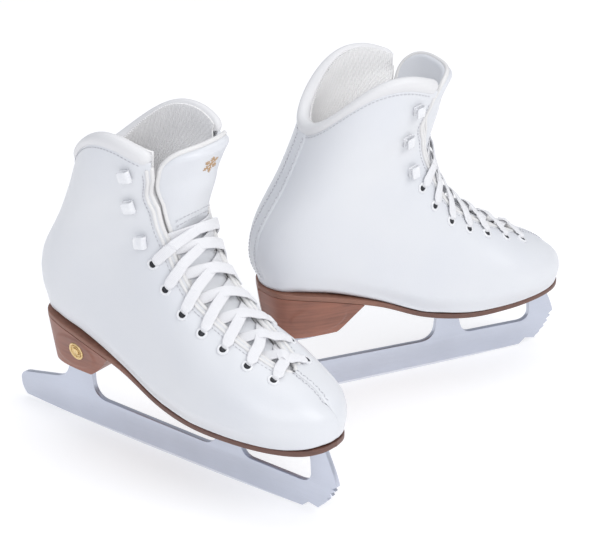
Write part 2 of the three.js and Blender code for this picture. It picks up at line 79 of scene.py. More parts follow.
# ---- the boot's surface ----
# Millimetres, in the skate's own frame: X towards the toe, Y towards the wearer's left on the
# right skate, Z up from the ice, X = 0 at the lowest toe pick. Each row is a cross-section:
# back x, z; front x, z; outer and inner half width; share of the chord below the widest point;
# squareness of the back half and of the front half; bow of the chord.
STATIONS = np.array([
    [13, 61, 4, 83, 0, 0, 0.45, 2.8, 2.2, 6],
    [10, 60, 0, 88, 14, 14, 0.42, 3.6, 2.2, 5],
    [1, 58.5, -8, 93, 27, 27, 0.38, 4.4, 2.2, 3],
    [-18, 57.5, -22, 99, 38, 38, 0.33, 4.8, 2.2, 1],
    [-45, 57, -42, 110, 44, 44, 0.3, 5, 2.2, 0],
    [-78, 57.5, -64, 124, 44, 42, 0.3, 5, 2.2, 0],
    [-110, 61.5, -82, 141, 40, 38, 0.32, 5, 2.3, 0],
    [-146, 75.5, -93, 160, 36, 35, 0.36, 4.6, 2.5, 0],
    [-183, 86.5, -98, 178, 33.5, 33, 0.4, 3.8, 2.8, 0],
    [-217, 93, -98, 193, 32, 32, 0.42, 3, 2.9, 0],
    [-230, 109, -97, 207, 33, 33, 0.45, 2.5, 2.8, 0],
    [-229, 134, -95, 219, 34, 34, 0.5, 2.3, 2.7, 0],
    [-209, 168, -92, 228, 37, 37, 0.52, 2.3, 2.6, 0],
    [-192, 206, -89, 235, 40, 40, 0.52, 2.3, 2.5, 0],
    [-178, 250, -86, 241, 42, 42, 0.52, 2.3, 2.5, 0],
], float)
RIM = len(STATIONS) - 1
THROAT = 2.9  # station where the lacing gap starts

# station, half width of the lacing gap
GAP = np.array([
    [2.9, 0.15], [2.95, 2.4], [3.1, 5], [3.5, 8], [4, 11], [5, 15],
    [6, 19], [8, 22], [10, 25], [12, 31], [14, 38],
])
# station, distance of the eyelets and hooks behind the facing's edge
ROW_INSET = np.array([[3, 12.5], [6, 14], [9, 18], [14, 19]])
EYELETS = [3.15, 3.95, 4.7, 5.4, 6.15, 7, 7.9]
HOOKS = [9, 11, 12.8]

# x, outer and inner half width, height of the upper's seam
SOLE = np.array([
    [13.5, 1, 1, 58.5],
    [10.5, 14, 13, 57.8],
    [1, 25.5, 23, 57.2],
    [-18, 34, 32, 57],
    [-45, 38.5, 38.5, 57],
    [-78, 38.5, 39.5, 57.3],
    [-110, 34, 32, 61],
    [-145, 31, 29.5, 75],
    [-182, 30, 29.5, 86],
    [-206, 27, 27, 91],
    [-221, 19.5, 19.5, 92.8],
    [-228, 1, 1, 93.3],
], float)

LEATHER = 2.4  # thickness
GROUND_CONTACT_X = -120  # where the runner touches the ice


def lerp(a, b, t):
    return a + (b - a) * t


def smoothstep(low, high, x):
    t = np.clip((np.asarray(x, float) - low) / (high - low), 0, 1)
    return t * t * (3 - 2 * t)


def catmull(table, at):
    """The table's rows as one smooth curve, at any number between row numbers."""
    i = np.clip(np.floor(at).astype(int), 0, len(table) - 2)
    t = (at - i)[..., None]
    padded = np.vstack([2 * table[0] - table[1], table, 2 * table[-1] - table[-2]])
    before, here, there, after = (padded[i + k] for k in range(4))
    bend = 2 * before - 5 * here + 4 * there - after
    twist = 3 * here - before - 3 * there + after
    return 0.5 * (2 * here + (there - before) * t + bend * t**2 + twist * t**3)


def alike(a, b):
    """Both as arrays of numbers of one shape."""
    return np.broadcast_arrays(np.asarray(a, float), np.asarray(b, float))


def wrap(phi):
    return np.where(phi > PI, phi - 2 * PI, phi)


def turns(count):
    return np.linspace(0, 2 * PI, count, endpoint=False)


def run_lengths(points, axis=-2):
    """How far along its row, or along the given axis, each point is."""
    steps = np.diff(points, axis=axis, prepend=points.take([0], axis))
    return np.cumsum(np.linalg.norm(steps, axis=-1), -1 if axis == -2 else axis)


def at_length(distance, lengths, values):
    """The value at each distance, read off its own row of lengths and values."""
    count = lengths.shape[-1]
    rows = zip(distance.ravel(), lengths.reshape(-1, count), values.reshape(-1, count))
    return np.reshape([np.interp(*row) for row in rows], distance.shape)


def surface(at, phi):
    """Points of the boot: phi is 0 at the back or sole, pi at the front, negative on the outer side."""
    at, phi = alike(at, wrap(np.asarray(phi, float)))
    section = np.moveaxis(catmull(STATIONS, np.maximum(at, 0)), -1, 0)
    back_x, back_z, front_x, front_z, outer, inner, split, square, rounded, bulge = section
    cosine = np.cos(phi)
    power = 2 / np.where(cosine > 0, square, rounded)
    reach = np.where(cosine > 0, split, 1 - split)
    t = split - np.sign(cosine) * reach * np.abs(cosine) ** power
    width = np.maximum(np.where(phi < 0, outer, inner), 0)
    y = np.where(phi < 0, -1, 1) * width * np.abs(np.sin(phi)) ** power
    dx = front_x - back_x
    dz = front_z - back_z
    bow = bulge * 4 * t * (1 - t) / np.hypot(dx, dz)
    return np.stack([back_x + dx * t + dz * bow, y, back_z + dz * t - dx * bow], -1)


def unit(vectors):
    return vectors / np.maximum(np.linalg.norm(vectors, axis=-1, keepdims=True), 1e-9)


def normal(at, phi):
    step = 0.02
    at, phi = alike(at, wrap(np.asarray(phi, float)))
    sign = np.where(phi < 0, -1, 1)
    phi = sign * np.clip(np.abs(phi), 2 * step, PI - 2 * step)
    at = np.clip(at, step, RIM - step)
    along = surface(at + step, phi) - surface(at - step, phi)
    around = surface(at, phi + step) - surface(at, phi - step)
    return unit(np.cross(along, around))


def boot(at, phi, offset):
    return surface(at, phi) + normal(at, phi) * np.asarray(offset, float)[..., None]


def on_boot(at, phi, offset):
    """Points that stand off the boot, and the directions the boot faces there."""
    return boot(at, phi, offset), normal(at, phi)


def back_angle(at, across):
    """The angle that lies that many millimetres from the middle of the boot's back."""
    section = catmull(STATIONS, at)
    ratio = np.clip(np.abs(across) / section[:, 4], 0, 1)
    return np.sign(across) * np.arcsin(ratio ** (section[:, 7] / 2))


def gap(at):
    return np.interp(at, GAP[:, 0], GAP[:, 1])


def edge_angle(at, half_gap, side):
    """The angle, counted from the back, where the front of the boot is half_gap from the middle."""
    section = catmull(STATIONS, np.asarray(at, float))
    width = section[..., 4 if side < 0 else 5]
    ratio = np.clip(half_gap / np.maximum(width, np.asarray(half_gap) + 0.001), 0, 1)
    return PI - np.arcsin(ratio ** (section[..., 8] / 2))


def facing_angle(at, side, inset=0.0):
    return edge_angle(at, np.maximum(gap(at) + inset, 0), side)


def behind_facing(at, side, distance):
    """The angle that far behind the facing's edge along the surface; ahead of it when negative."""
    at, distance = alike(at, distance)
    steps = np.arange(0, 1.5, 0.01) * np.where(distance < 0, -1, 1)[..., None]
    angles = np.minimum(facing_angle(at, side)[..., None] - steps, PI)
    lengths = run_lengths(surface(at[..., None], side * angles))
    return at_length(np.abs(distance), lengths, angles)


def rim_station(phi):
    cosine = np.cos(phi)
    return RIM - np.where(cosine > 0, 0.9 * cosine**2, np.abs(cosine) ** 1.5)


def below_rim(phi, distance):
    """The station that lies that far below the rim, in millimetres along the surface."""
    phi, distance = alike(phi, distance)
    step = 0.06
    stations = rim_station(phi)[..., None] - step * np.arange(0, 60)
    lengths = run_lengths(surface(stations, phi[..., None]))
    above = rim_station(phi) + np.maximum(-distance, 0) * step / lengths[..., 1]
    return np.where(distance < 0, above, at_length(distance, lengths, stations))


# ---- shapes: points in millimetres, faces and texture coordinates ----
def grid_faces(rows, columns, closed_rows=False, closed_columns=False):
    r = np.arange(rows if closed_rows else rows - 1)
    c = np.arange(columns if closed_columns else columns - 1)
    r, c = np.meshgrid(r, c, indexing="ij")
    r2 = (r + 1) % rows
    c2 = (c + 1) % columns
    corners = [r * columns + c, r * columns + c2, r2 * columns + c2, r2 * columns + c]
    return np.stack(corners, -1).reshape(-1, 4).tolist()


def grid_shape(points, outward=None, closed_rows=False, closed_columns=False, caps=False):
    """A grid of points (rows, columns, 3) as a shape; outward gives the side its faces look to."""
    rows, columns = points.shape[:2]
    faces = grid_faces(rows, columns, closed_rows, closed_columns)
    if caps:
        faces.append(list(range(columns))[::-1])
        faces.append([(rows - 1) * columns + k for k in range(columns)])
    uv = np.stack([run_lengths(points), run_lengths(points, 0)], -1).reshape(-1, 2) * MM
    flat = points.reshape(-1, 3)
    if outward is not None:
        flip = mean_facing(flat, faces, outward.reshape(-1, 3)) < 0
    else:
        flip = volume(flat, faces) < 0
    if flip:
        faces = [f[::-1] for f in faces]
    return flat, faces, uv


def mean_facing(points, faces, outward):
    f = np.array(faces)
    around = np.cross(points[f[:, 2]] - points[f[:, 0]], points[f[:, 3]] - points[f[:, 1]])
    return (around * outward[f[:, 0]]).sum()


def volume(points, faces):
    total = 0.0
    for f in faces:
        p = points[f]
        total += np.einsum("ij,ij->", np.cross(p[1:-1], p[2:]), np.broadcast_to(p[0], (len(p) - 2, 3)))
    return total


def rod(rings):
    """A solid from rings of points, closed at both ends."""
    return grid_shape(rings, closed_columns=True, caps=True)


def moved(shape, by):
    points, faces, uv = shape
    return points + by, faces, uv


def turned(shape, up, heading, to):
    """A shape drawn about Z, turned so that it stands along up and its X looks along heading."""
    points, faces, uv = shape
    ahead = unit(heading - up * heading.dot(up))
    return points @ np.stack([ahead, np.cross(up, ahead), up]) + to, faces, uv


def merged(shapes):
    points, faces, uvs, count = [], [], [], 0
    for p, f, uv in shapes:
        points.append(p)
        faces += [[k + count for k in face] for face in f]
        uvs.append(uv)
        count += len(p)
    return np.concatenate(points), faces, np.concatenate(uvs)


def evenly(path, spacing):
    """The rows of a path again, evenly spaced; a row starts with its point's X, Y and Z."""
    lengths = run_lengths(path[:, :3])
    places = np.linspace(0, lengths[-1], max(int(lengths[-1] / spacing), 2) + 1)
    return np.stack([np.interp(places, lengths, column) for column in path.T], 1)


def smoothed(points, count):
    """A Catmull-Rom curve through the points."""
    return catmull(np.asarray(points, float), np.linspace(0, len(points) - 1, count))


def tube(path, radius, sides=10):
    """A round tube along a path, with rounded ends."""
    tangent = unit(np.gradient(path, axis=0))
    side = np.cross(tangent[0], [0, 0, 1.0])
    if np.linalg.norm(side) < 0.1:
        side = np.cross(tangent[0], [0, 1.0, 0])
    frames = []
    for t in tangent:
        side = unit(side - t * side.dot(t))
        frames.append((side, np.cross(t, side)))
    ends = [(0.0, -0.95), (0.5, -0.8), (0.85, -0.5)]  # share of the radius, place past the end
    first = [(path[0] + tangent[0] * radius * h, radius * r + 0.001, frames[0]) for r, h in ends]
    last = [(path[-1] - tangent[-1] * radius * h, radius * r + 0.001, frames[-1]) for r, h in ends[::-1]]
    rings = first + [(centre, radius, f) for centre, f in zip(path, frames)] + last
    turn = turns(sides)
    return rod(np.stack([
        centre + r * (np.cos(turn)[:, None] * a + np.sin(turn)[:, None] * b)
        for centre, r, (a, b) in rings
    ]))


def ribbon(centres, ups, widths, thickness, crown=0.12):
    """A flat band with rounded edges along a path; ups are the directions it faces."""
    centres = np.asarray(centres, float)
    tangent = unit(np.gradient(centres, axis=0))
    across = unit(np.cross(tangent, ups))
    ups = unit(np.cross(across, tangent))
    widths = np.broadcast_to(np.asarray(widths, float), len(centres))
    half = thickness / 2
    profile = [(-1, 0), (-0.96, 0.7), (-0.8, 1), (-0.4, 1 + crown), (0, 1 + 1.5 * crown), (0.4, 1 + crown),
               (0.8, 1), (0.96, 0.7), (1, 0), (0.96, -0.7), (0.8, -1), (0, -1), (-0.8, -1), (-0.96, -0.7)]
    points = np.stack([
        centres + across * (a * widths / 2)[:, None] + ups * (u * half)
        for a, u in profile
    ], 1)
    flat, faces, _ = rod(points)
    u = np.tile([a for a, _ in profile], (len(centres), 1)) * widths[:, None] / 2
    v = np.tile(run_lengths(centres)[:, None], (1, len(profile)))
    return flat, faces, np.stack([u, v], -1).reshape(-1, 2) * MM


STITCH_PLACES = np.array([0, 0.12, 0.5, 0.88, 1])
STITCH_SWELL = np.array([0.25, 0.85, 1, 0.85, 0.25])
STITCH_SHARE = 0.74  # of the pitch
STITCH_RADIUS = 0.34
STITCH_RISE = 0.1


def stitches(path, ups, pitch=2.9, zigzag=0.0):
    """Thread stitches along a path, as short rounded rods lying on the surface."""
    rows = evenly(np.concatenate([path, ups], 1), pitch)
    starts, up = rows[:, :3], unit(rows[:, 3:])
    turn = turns(6)
    rise = STITCH_RISE * np.sin(PI * STITCH_PLACES)[:, None]
    radius = (STITCH_RADIUS * STITCH_SWELL)[:, None, None]
    shapes = []
    for k in range(len(starts) - 1):
        across = unit(np.cross(unit(starts[k + 1] - starts[k]), up[k]))
        sway = across * zigzag * (1 if k % 2 else -1)
        end = lerp(starts[k], starts[k + 1], STITCH_SHARE) + sway
        line = lerp(starts[k] - sway, end, STITCH_PLACES[:, None]) + rise * up[k]
        ring = np.cos(turn)[:, None] * across + np.sin(turn)[:, None] * up[k]
        shapes.append(rod(line[:, None] + ring[None] * radius))
    return merged(shapes)


def lathe(profile, segments=28):
    """A ring about Z from a closed profile of (radius, height)."""
    rows = [[(r * math.cos(a), r * math.sin(a), h) for r, h in profile] for a in turns(segments)]
    return grid_shape(np.array(rows), closed_rows=True, closed_columns=True)


def disc(radius, height):
    ring = np.array([(radius * math.cos(a), radius * math.sin(a), height) for a in turns(28)])
    return rod(np.stack([ring - [0, 0, 0.15], ring]))


HOOK_HEADING = np.array([0.985, 0, 0.12])


def stand(shape, at, phi):
    """A shape drawn about Z, stood on the boot; its X then points towards the facing."""
    return turned(shape, normal(at, phi), HOOK_HEADING, surface(at, phi))


# ---- materials ----
class Nodes:
    """A material's node tree, with one-line helpers."""

    def __init__(self, name, roughness, metallic=0.0, **sockets):
        self.material = bpy.data.materials.new(name)
        self.material.use_nodes = True
        self.tree = self.material.node_tree
        self.shader = self.tree.nodes["Principled BSDF"]
        self.shader.inputs["Roughness"].default_value = roughness
        self.shader.inputs["Metallic"].default_value = metallic
        for socket, value in sockets.items():
            self.shader.inputs[socket.replace("_", " ")].default_value = value
        self.coordinates = self.tree.nodes.new("ShaderNodeTexCoord")
        self.last_bump = None

    def add(self, kind, **values):
        node = self.tree.nodes.new(kind)
        for key, value in values.items():
            if key in node.inputs:
                node.inputs[key].default_value = value
            else:
                setattr(node, key, value)
        return node

    def link(self, source, target):
        self.tree.links.new(source, target)

    def scaled(self, scale, space="Object"):
        mapping = self.add("ShaderNodeMapping")
        mapping.inputs["Scale"].default_value = scale
        self.link(self.coordinates.outputs[space], mapping.inputs["Vector"])
        return mapping.outputs["Vector"]

    def axes(self, space="Object"):
        """The X, Y and Z of a texture coordinate."""
        split = self.add("ShaderNodeSeparateXYZ")
        self.link(self.coordinates.outputs[space], split.inputs[0])
        return split.outputs

    def texture(self, kind, output, vector, **values):
        node = self.add("ShaderNodeTex" + kind, **values)
        self.link(vector or self.coordinates.outputs["Object"], node.inputs["Vector"])
        return node.outputs[output]

    def noise(self, scale, detail=3.0, rough=0.5, vector=None):
        return self.texture("Noise", "Fac", vector, Scale=scale, Detail=detail, Roughness=rough)

    def cells(self, scale, feature="F1"):
        return self.texture("Voronoi", "Distance", None, Scale=scale, feature=feature)

    def waves(self, scale, vector, direction, distortion):
        values = {"Scale": scale, "Distortion": distortion, "bands_direction": direction}
        return self.texture("Wave", "Fac", vector, **values)

    def mapped(self, value, low, high, to_low, to_high):
        node = self.add("ShaderNodeMapRange")
        ends = {"From Min": low, "From Max": high, "To Min": to_low, "To Max": to_high}
        for name, number in ends.items():
            node.inputs[name].default_value = number
        self.link(value, node.inputs["Value"])
        return node.outputs["Result"]

    def spread(self, value, low, high):
        """A noise's usual range spread from low to high."""
        return self.mapped(value, 0.3, 0.7, low, high)

    def math(self, operation, a, b):
        node = self.add("ShaderNodeMath", operation=operation)
        for socket, value in zip(node.inputs, (a, b)):
            if isinstance(value, (int, float)):
                socket.default_value = value
            else:
                self.link(value, socket)
        return node.outputs[0]

    def ramp(self, value, stops):
        node = self.add("ShaderNodeValToRGB")
        elements = node.color_ramp.elements
        while len(elements) < len(stops):
            elements.new(0.5)
        for element, (place, colour) in zip(elements, stops):
            element.position = place
            element.color = (*colour, 1)
        self.link(value, node.inputs["Fac"])
        return node.outputs["Color"]

    def mix(self, factor, a, b):
        node = self.add("ShaderNodeMix", data_type="RGBA")
        self.link(factor, node.inputs[0])
        for socket, value in ((node.inputs[6], a), (node.inputs[7], b)):
            if isinstance(value, tuple):
                socket.default_value = (*value, 1)
            else:
                self.link(value, socket)
        return node.outputs[2]

    def height(self, value, distance_mm, strength=1.0):
        """Adds a layer of bump."""
        node = self.add("ShaderNodeBump", Strength=strength, Distance=distance_mm * MM)
        self.link(value, node.inputs["Height"])
        if self.last_bump:
            self.link(self.last_bump, node.inputs["Normal"])
        self.last_bump = node.outputs["Normal"]

    def done(self, colour=None, roughness=None):
        if colour is not None:
            self.link(colour, self.shader.inputs["Base Color"])
        if roughness is not None:
            self.link(roughness, self.shader.inputs["Roughness"])
        if self.last_bump:
            self.link(self.last_bump, self.shader.inputs["Normal"])
        return self.material


def leather_material(name, light, shade, roughness=0.36, grain=1.0):
    n = Nodes(name, roughness, Coat_Weight=0.18, Coat_Roughness=0.28)
    broad = n.noise(14, 2)
    colour = n.ramp(n.spread(broad, 0, 1), [(0, shade), (1, light)])
    pores = n.cells(1150)
    creases = n.cells(620, "DISTANCE_TO_EDGE")
    fine = n.noise(2600, 2)
    n.height(n.mapped(creases, 0, 0.12, 0, 1), 0.035 * grain, 0.55)
    n.height(pores, 0.03 * grain, 0.4)
    n.height(fine, 0.015 * grain, 0.4)
    n.height(n.noise(45, 3), 0.5, 0.22)
    spots = n.noise(160, 4)
    return n.done(colour, n.spread(spots, roughness - 0.07, roughness + 0.09))


RIB_PITCH = 2.4


def ribbed_material():
    n = Nodes("ribbed_textile", 0.9, Sheen_Weight=0.5, Sheen_Roughness=0.5)
    uv = n.scaled((1, 1, 1), "UV")
    ribs = n.waves(1000 / (2 * PI) / RIB_PITCH, uv, "X", 0.6)
    loops = n.noise(1500, 4)
    # painted shade: the colour darkens in the troughs of the ribs and loops, where the bump is low
    colour = n.mix(n.math("MULTIPLY", ribs, loops), (0.9, 0.89, 0.885), (0.98, 0.975, 0.97))
    n.height(ribs, 0.4, 0.5)
    n.height(loops, 0.45, 0.8)
    n.height(n.cells(1100), 0.3, 0.5)
    return n.done(colour, n.spread(loops, 0.82, 0.98))


def woven_material(name, light, shade, thread_mm):
    """A flat herringbone weave in the band's own texture coordinates."""
    n = Nodes(name, 0.8, Sheen_Weight=0.35, Sheen_Roughness=0.4)
    uv = n.axes("UV")
    across = n.math("ABSOLUTE", uv["X"], 0)
    slanted = n.math("ADD", across, uv["Y"])
    pitch = 2 * PI / (thread_mm * MM)
    threads = n.math("SINE", n.math("MULTIPLY", slanted, pitch), 0)
    columns = n.math("SINE", n.math("MULTIPLY", uv["X"], pitch * 1.3), 0)
    weave = n.mapped(n.math("ADD", threads, n.math("MULTIPLY", columns, 0.6)), -1.6, 1.6, 0, 1)
    fuzz = n.noise(2400, 3)
    colour = n.mix(n.math("MULTIPLY", weave, n.mapped(fuzz, 0.2, 0.8, 0.7, 1.2)), shade, light)
    n.height(weave, 0.16, 0.8)
    n.height(fuzz, 0.08, 0.6)
    return n.done(colour, n.spread(fuzz, 0.72, 0.92))


def thread_material(name, painted_hollow_shade, proud):
    n = Nodes(name, 0.7, Sheen_Weight=0.3)
    twist = n.waves(900, n.scaled((1, 1, 1)), "DIAGONAL", 1.5)
    # painted shade: the twist's hollows take the darker colour
    colour = n.mix(twist, painted_hollow_shade, proud)
    n.height(twist, 0.08, 0.6)
    return n.done(colour)


def enamel_material():
    n = Nodes("white_enamel", 0.24, Coat_Weight=0.5, Coat_Roughness=0.12)
    peel = n.noise(900, 3)
    wear = n.noise(260, 5)
    colour = n.ramp(n.mapped(wear, 0.35, 0.75, 0, 1), [(0, (0.8, 0.805, 0.82)), (1, (0.7, 0.71, 0.74))])
    n.height(peel, 0.03, 0.5)
    return n.done(colour, n.spread(wear, 0.2, 0.34))


def steel_material(name, tone, polish_and_highlight_to=0.0, roughness=0.34):
    """Ground steel; below the given band height (metres above the ice) the side is smoother, as polished, and its
    colour is painted brighter: a painted highlight.
    """
    n = Nodes(name, roughness, 1.0)
    streaks = n.noise(90, 6, 0.7, n.scaled((0.6, 0.6, 30)))
    cloudy = n.noise(24, 3)
    dark = tuple(c * 0.9 for c in tone)
    colour = n.mix(n.mapped(n.math("ADD", streaks, cloudy), 0.7, 1.3, 0, 1), dark, tone)
    rough = n.spread(streaks, roughness - 0.08, roughness + 0.1)
    if polish_and_highlight_to:
        # painted highlight: a thin band along the runner's bottom is painted brighter; its lower roughness is real
        # polish
        band = n.mapped(n.axes()["Z"], polish_and_highlight_to, polish_and_highlight_to + 0.0007, 1, 0)
        painted_highlight = n.mix(n.spread(streaks, 0, 1), (0.68, 0.7, 0.76), (0.82, 0.83, 0.87))
        colour = n.mix(band, colour, painted_highlight)
        rough = n.math("SUBTRACT", rough, n.math("MULTIPLY", band, 0.14))
    n.height(n.noise(160, 4, 0.6, n.scaled((0.5, 0.5, 14))), 0.02, 0.35)
    return n.done(colour, rough)


def heel_material():
    n = Nodes("stained_heel", 0.42, Coat_Weight=0.25, Coat_Roughness=0.3)
    layers = n.noise(70, 4, 0.6, n.scaled((0.5, 0.5, 9)))
    cloudy = n.noise(38, 4)
    base = n.ramp(n.spread(cloudy, 0, 1), [(0, (0.15, 0.054, 0.034)), (1, (0.27, 0.1, 0.062))])
    # the heel's colour is lighter towards its bottom
    low = n.mapped(n.axes()["Z"], 0.056, 0.066, 1, 0)
    colour = n.mix(n.mapped(layers, 0.35, 0.65, 0, 0.55), base, (0.31, 0.12, 0.076))
    colour = n.mix(n.math("MULTIPLY", low, 0.5), colour, (0.36, 0.15, 0.1))
    n.height(layers, 0.12, 0.4)
    n.height(n.noise(1400, 3), 0.03, 0.5)
    return n.done(colour, n.spread(cloudy, 0.34, 0.52))


def sole_material():
    n = Nodes("sole_edge", 0.5, Coat_Weight=0.2, Coat_Roughness=0.35)
    fibres = n.noise(120, 6, 0.7, n.scaled((1, 1, 12)))
    dark = n.ramp(fibres, [(0.25, (0.075, 0.034, 0.026)), (0.75, (0.19, 0.085, 0.06))])
    stained = n.ramp(fibres, [(0.25, (0.17, 0.075, 0.05)), (0.75, (0.3, 0.135, 0.09))])
    colour = n.mix(n.mapped(n.axes("UV")["Y"], 0.15, 0.19, 0, 1), dark, stained)
    n.height(fibres, 0.12, 0.6)
    n.height(n.noise(1500, 2), 0.03, 0.5)
    return n.done(colour, n.spread(fibres, 0.4, 0.62))


def gold_material():
    n = Nodes("satin_gold", 0.3, 1.0)
    brushed = n.noise(700, 4)
    colour = n.mix(brushed, (0.62, 0.42, 0.17), (0.93, 0.74, 0.42))
    n.height(brushed, 0.03, 0.5)
    return n.done(colour, n.spread(brushed, 0.22, 0.42))


def board_material(name, light, dark):
    n = Nodes(name, 0.9)
    specks = n.noise(900, 5, 0.7)
    colour = n.ramp(specks, [(0.3, dark), (0.7, light)])
    n.height(specks, 0.15, 0.7)
    return n.done(colour)


def hole_shade_material():
    # painted shade: near-black colour for the shaded inside of eyelet holes and screw recesses
    n = Nodes("painted_hole_shade", 0.85)
    colour = n.ramp(n.noise(800, 3), [(0.3, (0.012, 0.013, 0.016)), (0.7, (0.05, 0.052, 0.06))])
    return n.done(colour)


MATERIALS = {
    "leather": leather_material("white_leather", (0.72, 0.73, 0.75), (0.685, 0.7, 0.735)),
    "soft_leather": leather_material("collar_leather", (0.75, 0.745, 0.75), (0.71, 0.71, 0.72), 0.48, 1.5),
    "binding": leather_material("binding_leather", (0.79, 0.78, 0.77), (0.72, 0.715, 0.71), 0.45, 1.2),
    "lining": ribbed_material(),
    "lace": woven_material("lace_weave", (0.9, 0.9, 0.905), (0.68, 0.68, 0.71), 1.1),
    "footbed": woven_material("footbed_cloth", (0.8, 0.78, 0.76), (0.5, 0.48, 0.47), 1.6),
    # painted shade: the thread is painted grey, darker than off-white thread, so its rows read as shaded lines
    "thread": thread_material("thread", (0.44, 0.45, 0.49), (0.66, 0.66, 0.68)),
    "crest": thread_material("bronze_thread", (0.33, 0.19, 0.09), (0.62, 0.42, 0.24)),
    "enamel": enamel_material(),
    # the blade's lowest 1.4 mm: real polish with a painted highlight
    "blade": steel_material("blade_steel", (0.6, 0.63, 0.715), 0.0014),
    "plate": steel_material("plate_steel", (0.52, 0.54, 0.62), 0, 0.38),
    "screw": steel_material("screw_steel", (0.62, 0.63, 0.66), 0, 0.3),
    "heel": heel_material(),
    "sole": sole_material(),
    "gold": gold_material(),
    "board": board_material("insole_board", (0.5, 0.36, 0.22), (0.3, 0.2, 0.12)),
    "stiffener": board_material("stiffener_felt", (0.4, 0.36, 0.32), (0.25, 0.22, 0.19)),
    "hole_shade": hole_shade_material(),
}


# ---- the two skates ----
class Skate:
    """Where one skate stands: the right one, or the left one as its mirror image."""

    def __init__(self, side):
        joints = {j["name"]: j for j in frame["joints"]}
        self.side = side
        self.mirrored = side == "left"
        axis = np.array(joints[side + "_tongue_fold"]["axis"], float)
        self.toeward = np.array([axis[1], -axis[0], 0])
        self.across = -axis if self.mirrored else axis
        self.origin = MOUNTS[side + "_blade_ground"] - self.toeward * GROUND_CONTACT_X * MM

    def placed(self, points):
        points = np.asarray(points, float)
        up = np.array([0, 0, 1.0])
        basis = np.stack([self.toeward, self.across, up])
        return self.origin + points @ basis * MM


SKATES = [Skate("right"), Skate("left")]


def new_object(name, points, faces, uv, material, flipped=False):
    mesh = bpy.data.meshes.new(name)
    if flipped:
        faces = [f[::-1] for f in faces]
    mesh.from_pydata([tuple(p) for p in points], [], faces)
    layer = mesh.uv_layers.new(name="UVMap")
    loops = np.zeros(len(mesh.loops), int)
    mesh.loops.foreach_get("vertex_index", loops)
    layer.data.foreach_set("uv", uv[loops].astype(np.float32).ravel())
    mesh.shade_smooth()
    mesh.materials.append(MATERIALS[material])
    return linked(name, mesh)


def apply_modifiers(piece):
    graph = bpy.context.evaluated_depsgraph_get()
    final = bpy.data.meshes.new_from_object(piece.evaluated_get(graph))
    piece.modifiers.clear()
    piece.data = final


def bevel(piece, width, segments, angle):
    edge = piece.modifiers.new("edge", "BEVEL")
    edge.width = width * MM
    edge.segments = segments
    edge.limit_method = "ANGLE"
    edge.angle_limit = math.radians(angle)
    apply_modifiers(piece)


def thicken(piece, thickness, edge):
    """Gives a surface its thickness, inwards, with rounded edges."""
    solid = piece.modifiers.new("solid", "SOLIDIFY")
    solid.thickness = thickness * MM
    solid.offset = -1
    bevel(piece, edge, 2, 50)


def soft_edges(piece, width, segments):
    bevel(piece, width, segments, 35)
    piece.data.shade_smooth()
    piece.data.set_sharp_from_angle(angle=math.radians(40))


def add_pair(name, shape, material, slot, nodes=(), after=None, blend=None, body="skate"):
    """The same piece on both skates. nodes are the CAD nodes that it stands for."""
    pieces = []
    for skate in SKATES:
        points, faces, uv = shape
        full_name = f"{skate.side}_{name}"
        piece = new_object(full_name, skate.placed(points), faces, uv, material, skate.mirrored)
        if after:
            after(piece)
        if blend:
            start, end = (tuple(skate.placed(p)) for p in blend)
            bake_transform(piece)
        else:
            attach(piece, f"{skate.side}_{body}")
        if nodes:
            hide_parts(*[f"{skate.side}_{node}" for node in nodes])
        pieces.append(piece)
    return pieces


def add_stitches(name, *rows, **where):
    add_pair(name + "_stitches", merged(rows), "thread", "lace_weave", **where)


SIDES = {"outer": -1, "inner": 1}


# ---- leather uppers ----
def even_grid(fractions, columns, first, last, start, stop):
    """Stations and angles of a grid whose rows have evenly spaced points."""
    def ends(edge):
        at = lerp(first, RIM, fractions)
        for _ in range(5):
            phi = edge(at)
            at = lerp(first, last(phi), fractions)
        return phi

    begin, finish = ends(start), ends(stop)
    dense = np.linspace(0, 1, 240)
    phi = lerp(begin[:, None], finish[:, None], dense)
    at = lerp(first, last(phi), fractions[:, None])
    lengths = run_lengths(surface(at, phi))
    share = np.linspace(0, 1, columns)
    even = np.stack([np.interp(share * row[-1], row, p) for row, p in zip(lengths, phi)])
    return lerp(first, last(even), fractions[:, None]), even


def rim_line(distance):
    """The station below the rim as a quick function of the angle."""
    angles = np.linspace(0, PI, 181)
    stations = below_rim(angles, distance)
    return lambda phi: np.interp(np.abs(phi), angles, stations)


COLLAR_DEPTH = 9
HEEL_STATION = 9.05  # from here up, the halves of the upper meet at the back
SOLE_SPAN = 0.15 * PI  # below it they stop this far from the middle of the sole
SEAM_WIDTH = 1.7
SEAM_DEPTH = 0.4
SWELL = 0.22  # slow unevenness of the leather
MIDDLE_GAP = 0.06  # each half keeps this clear of the middle


def lower_angle(at):
    """The angle at which a half of the upper starts."""
    return SOLE_SPAN * np.clip((HEEL_STATION - at) / 1.1, 0, 1)


def upper_rows():
    """Shares of the way from the toe to the rim, closest where the lacing gap starts."""
    near_throat = np.linspace(0.195, 0.3, 26)
    below = np.linspace(0, 0.19, 24)
    above = np.linspace(0.31, 1, 74)
    return np.concatenate([below, near_throat, above])


SETTLE_HEIGHT = 14  # the leather runs into the sole's edge below this height above the sole
SETTLE_DROP = 2.4
SETTLE_INSET = 1.3  # the sole stands out this far


def sole_edge_line():
    c = catmull(SOLE, np.linspace(0, len(SOLE) - 1, 110))
    outer = np.stack([c[:, 0], -np.maximum(c[:, 1] - SETTLE_INSET, 0.3)], 1)
    inner = np.stack([c[:, 0], np.maximum(c[:, 2] - SETTLE_INSET, 0.3)], 1)
    return np.concatenate([outer, inner[::-1]])


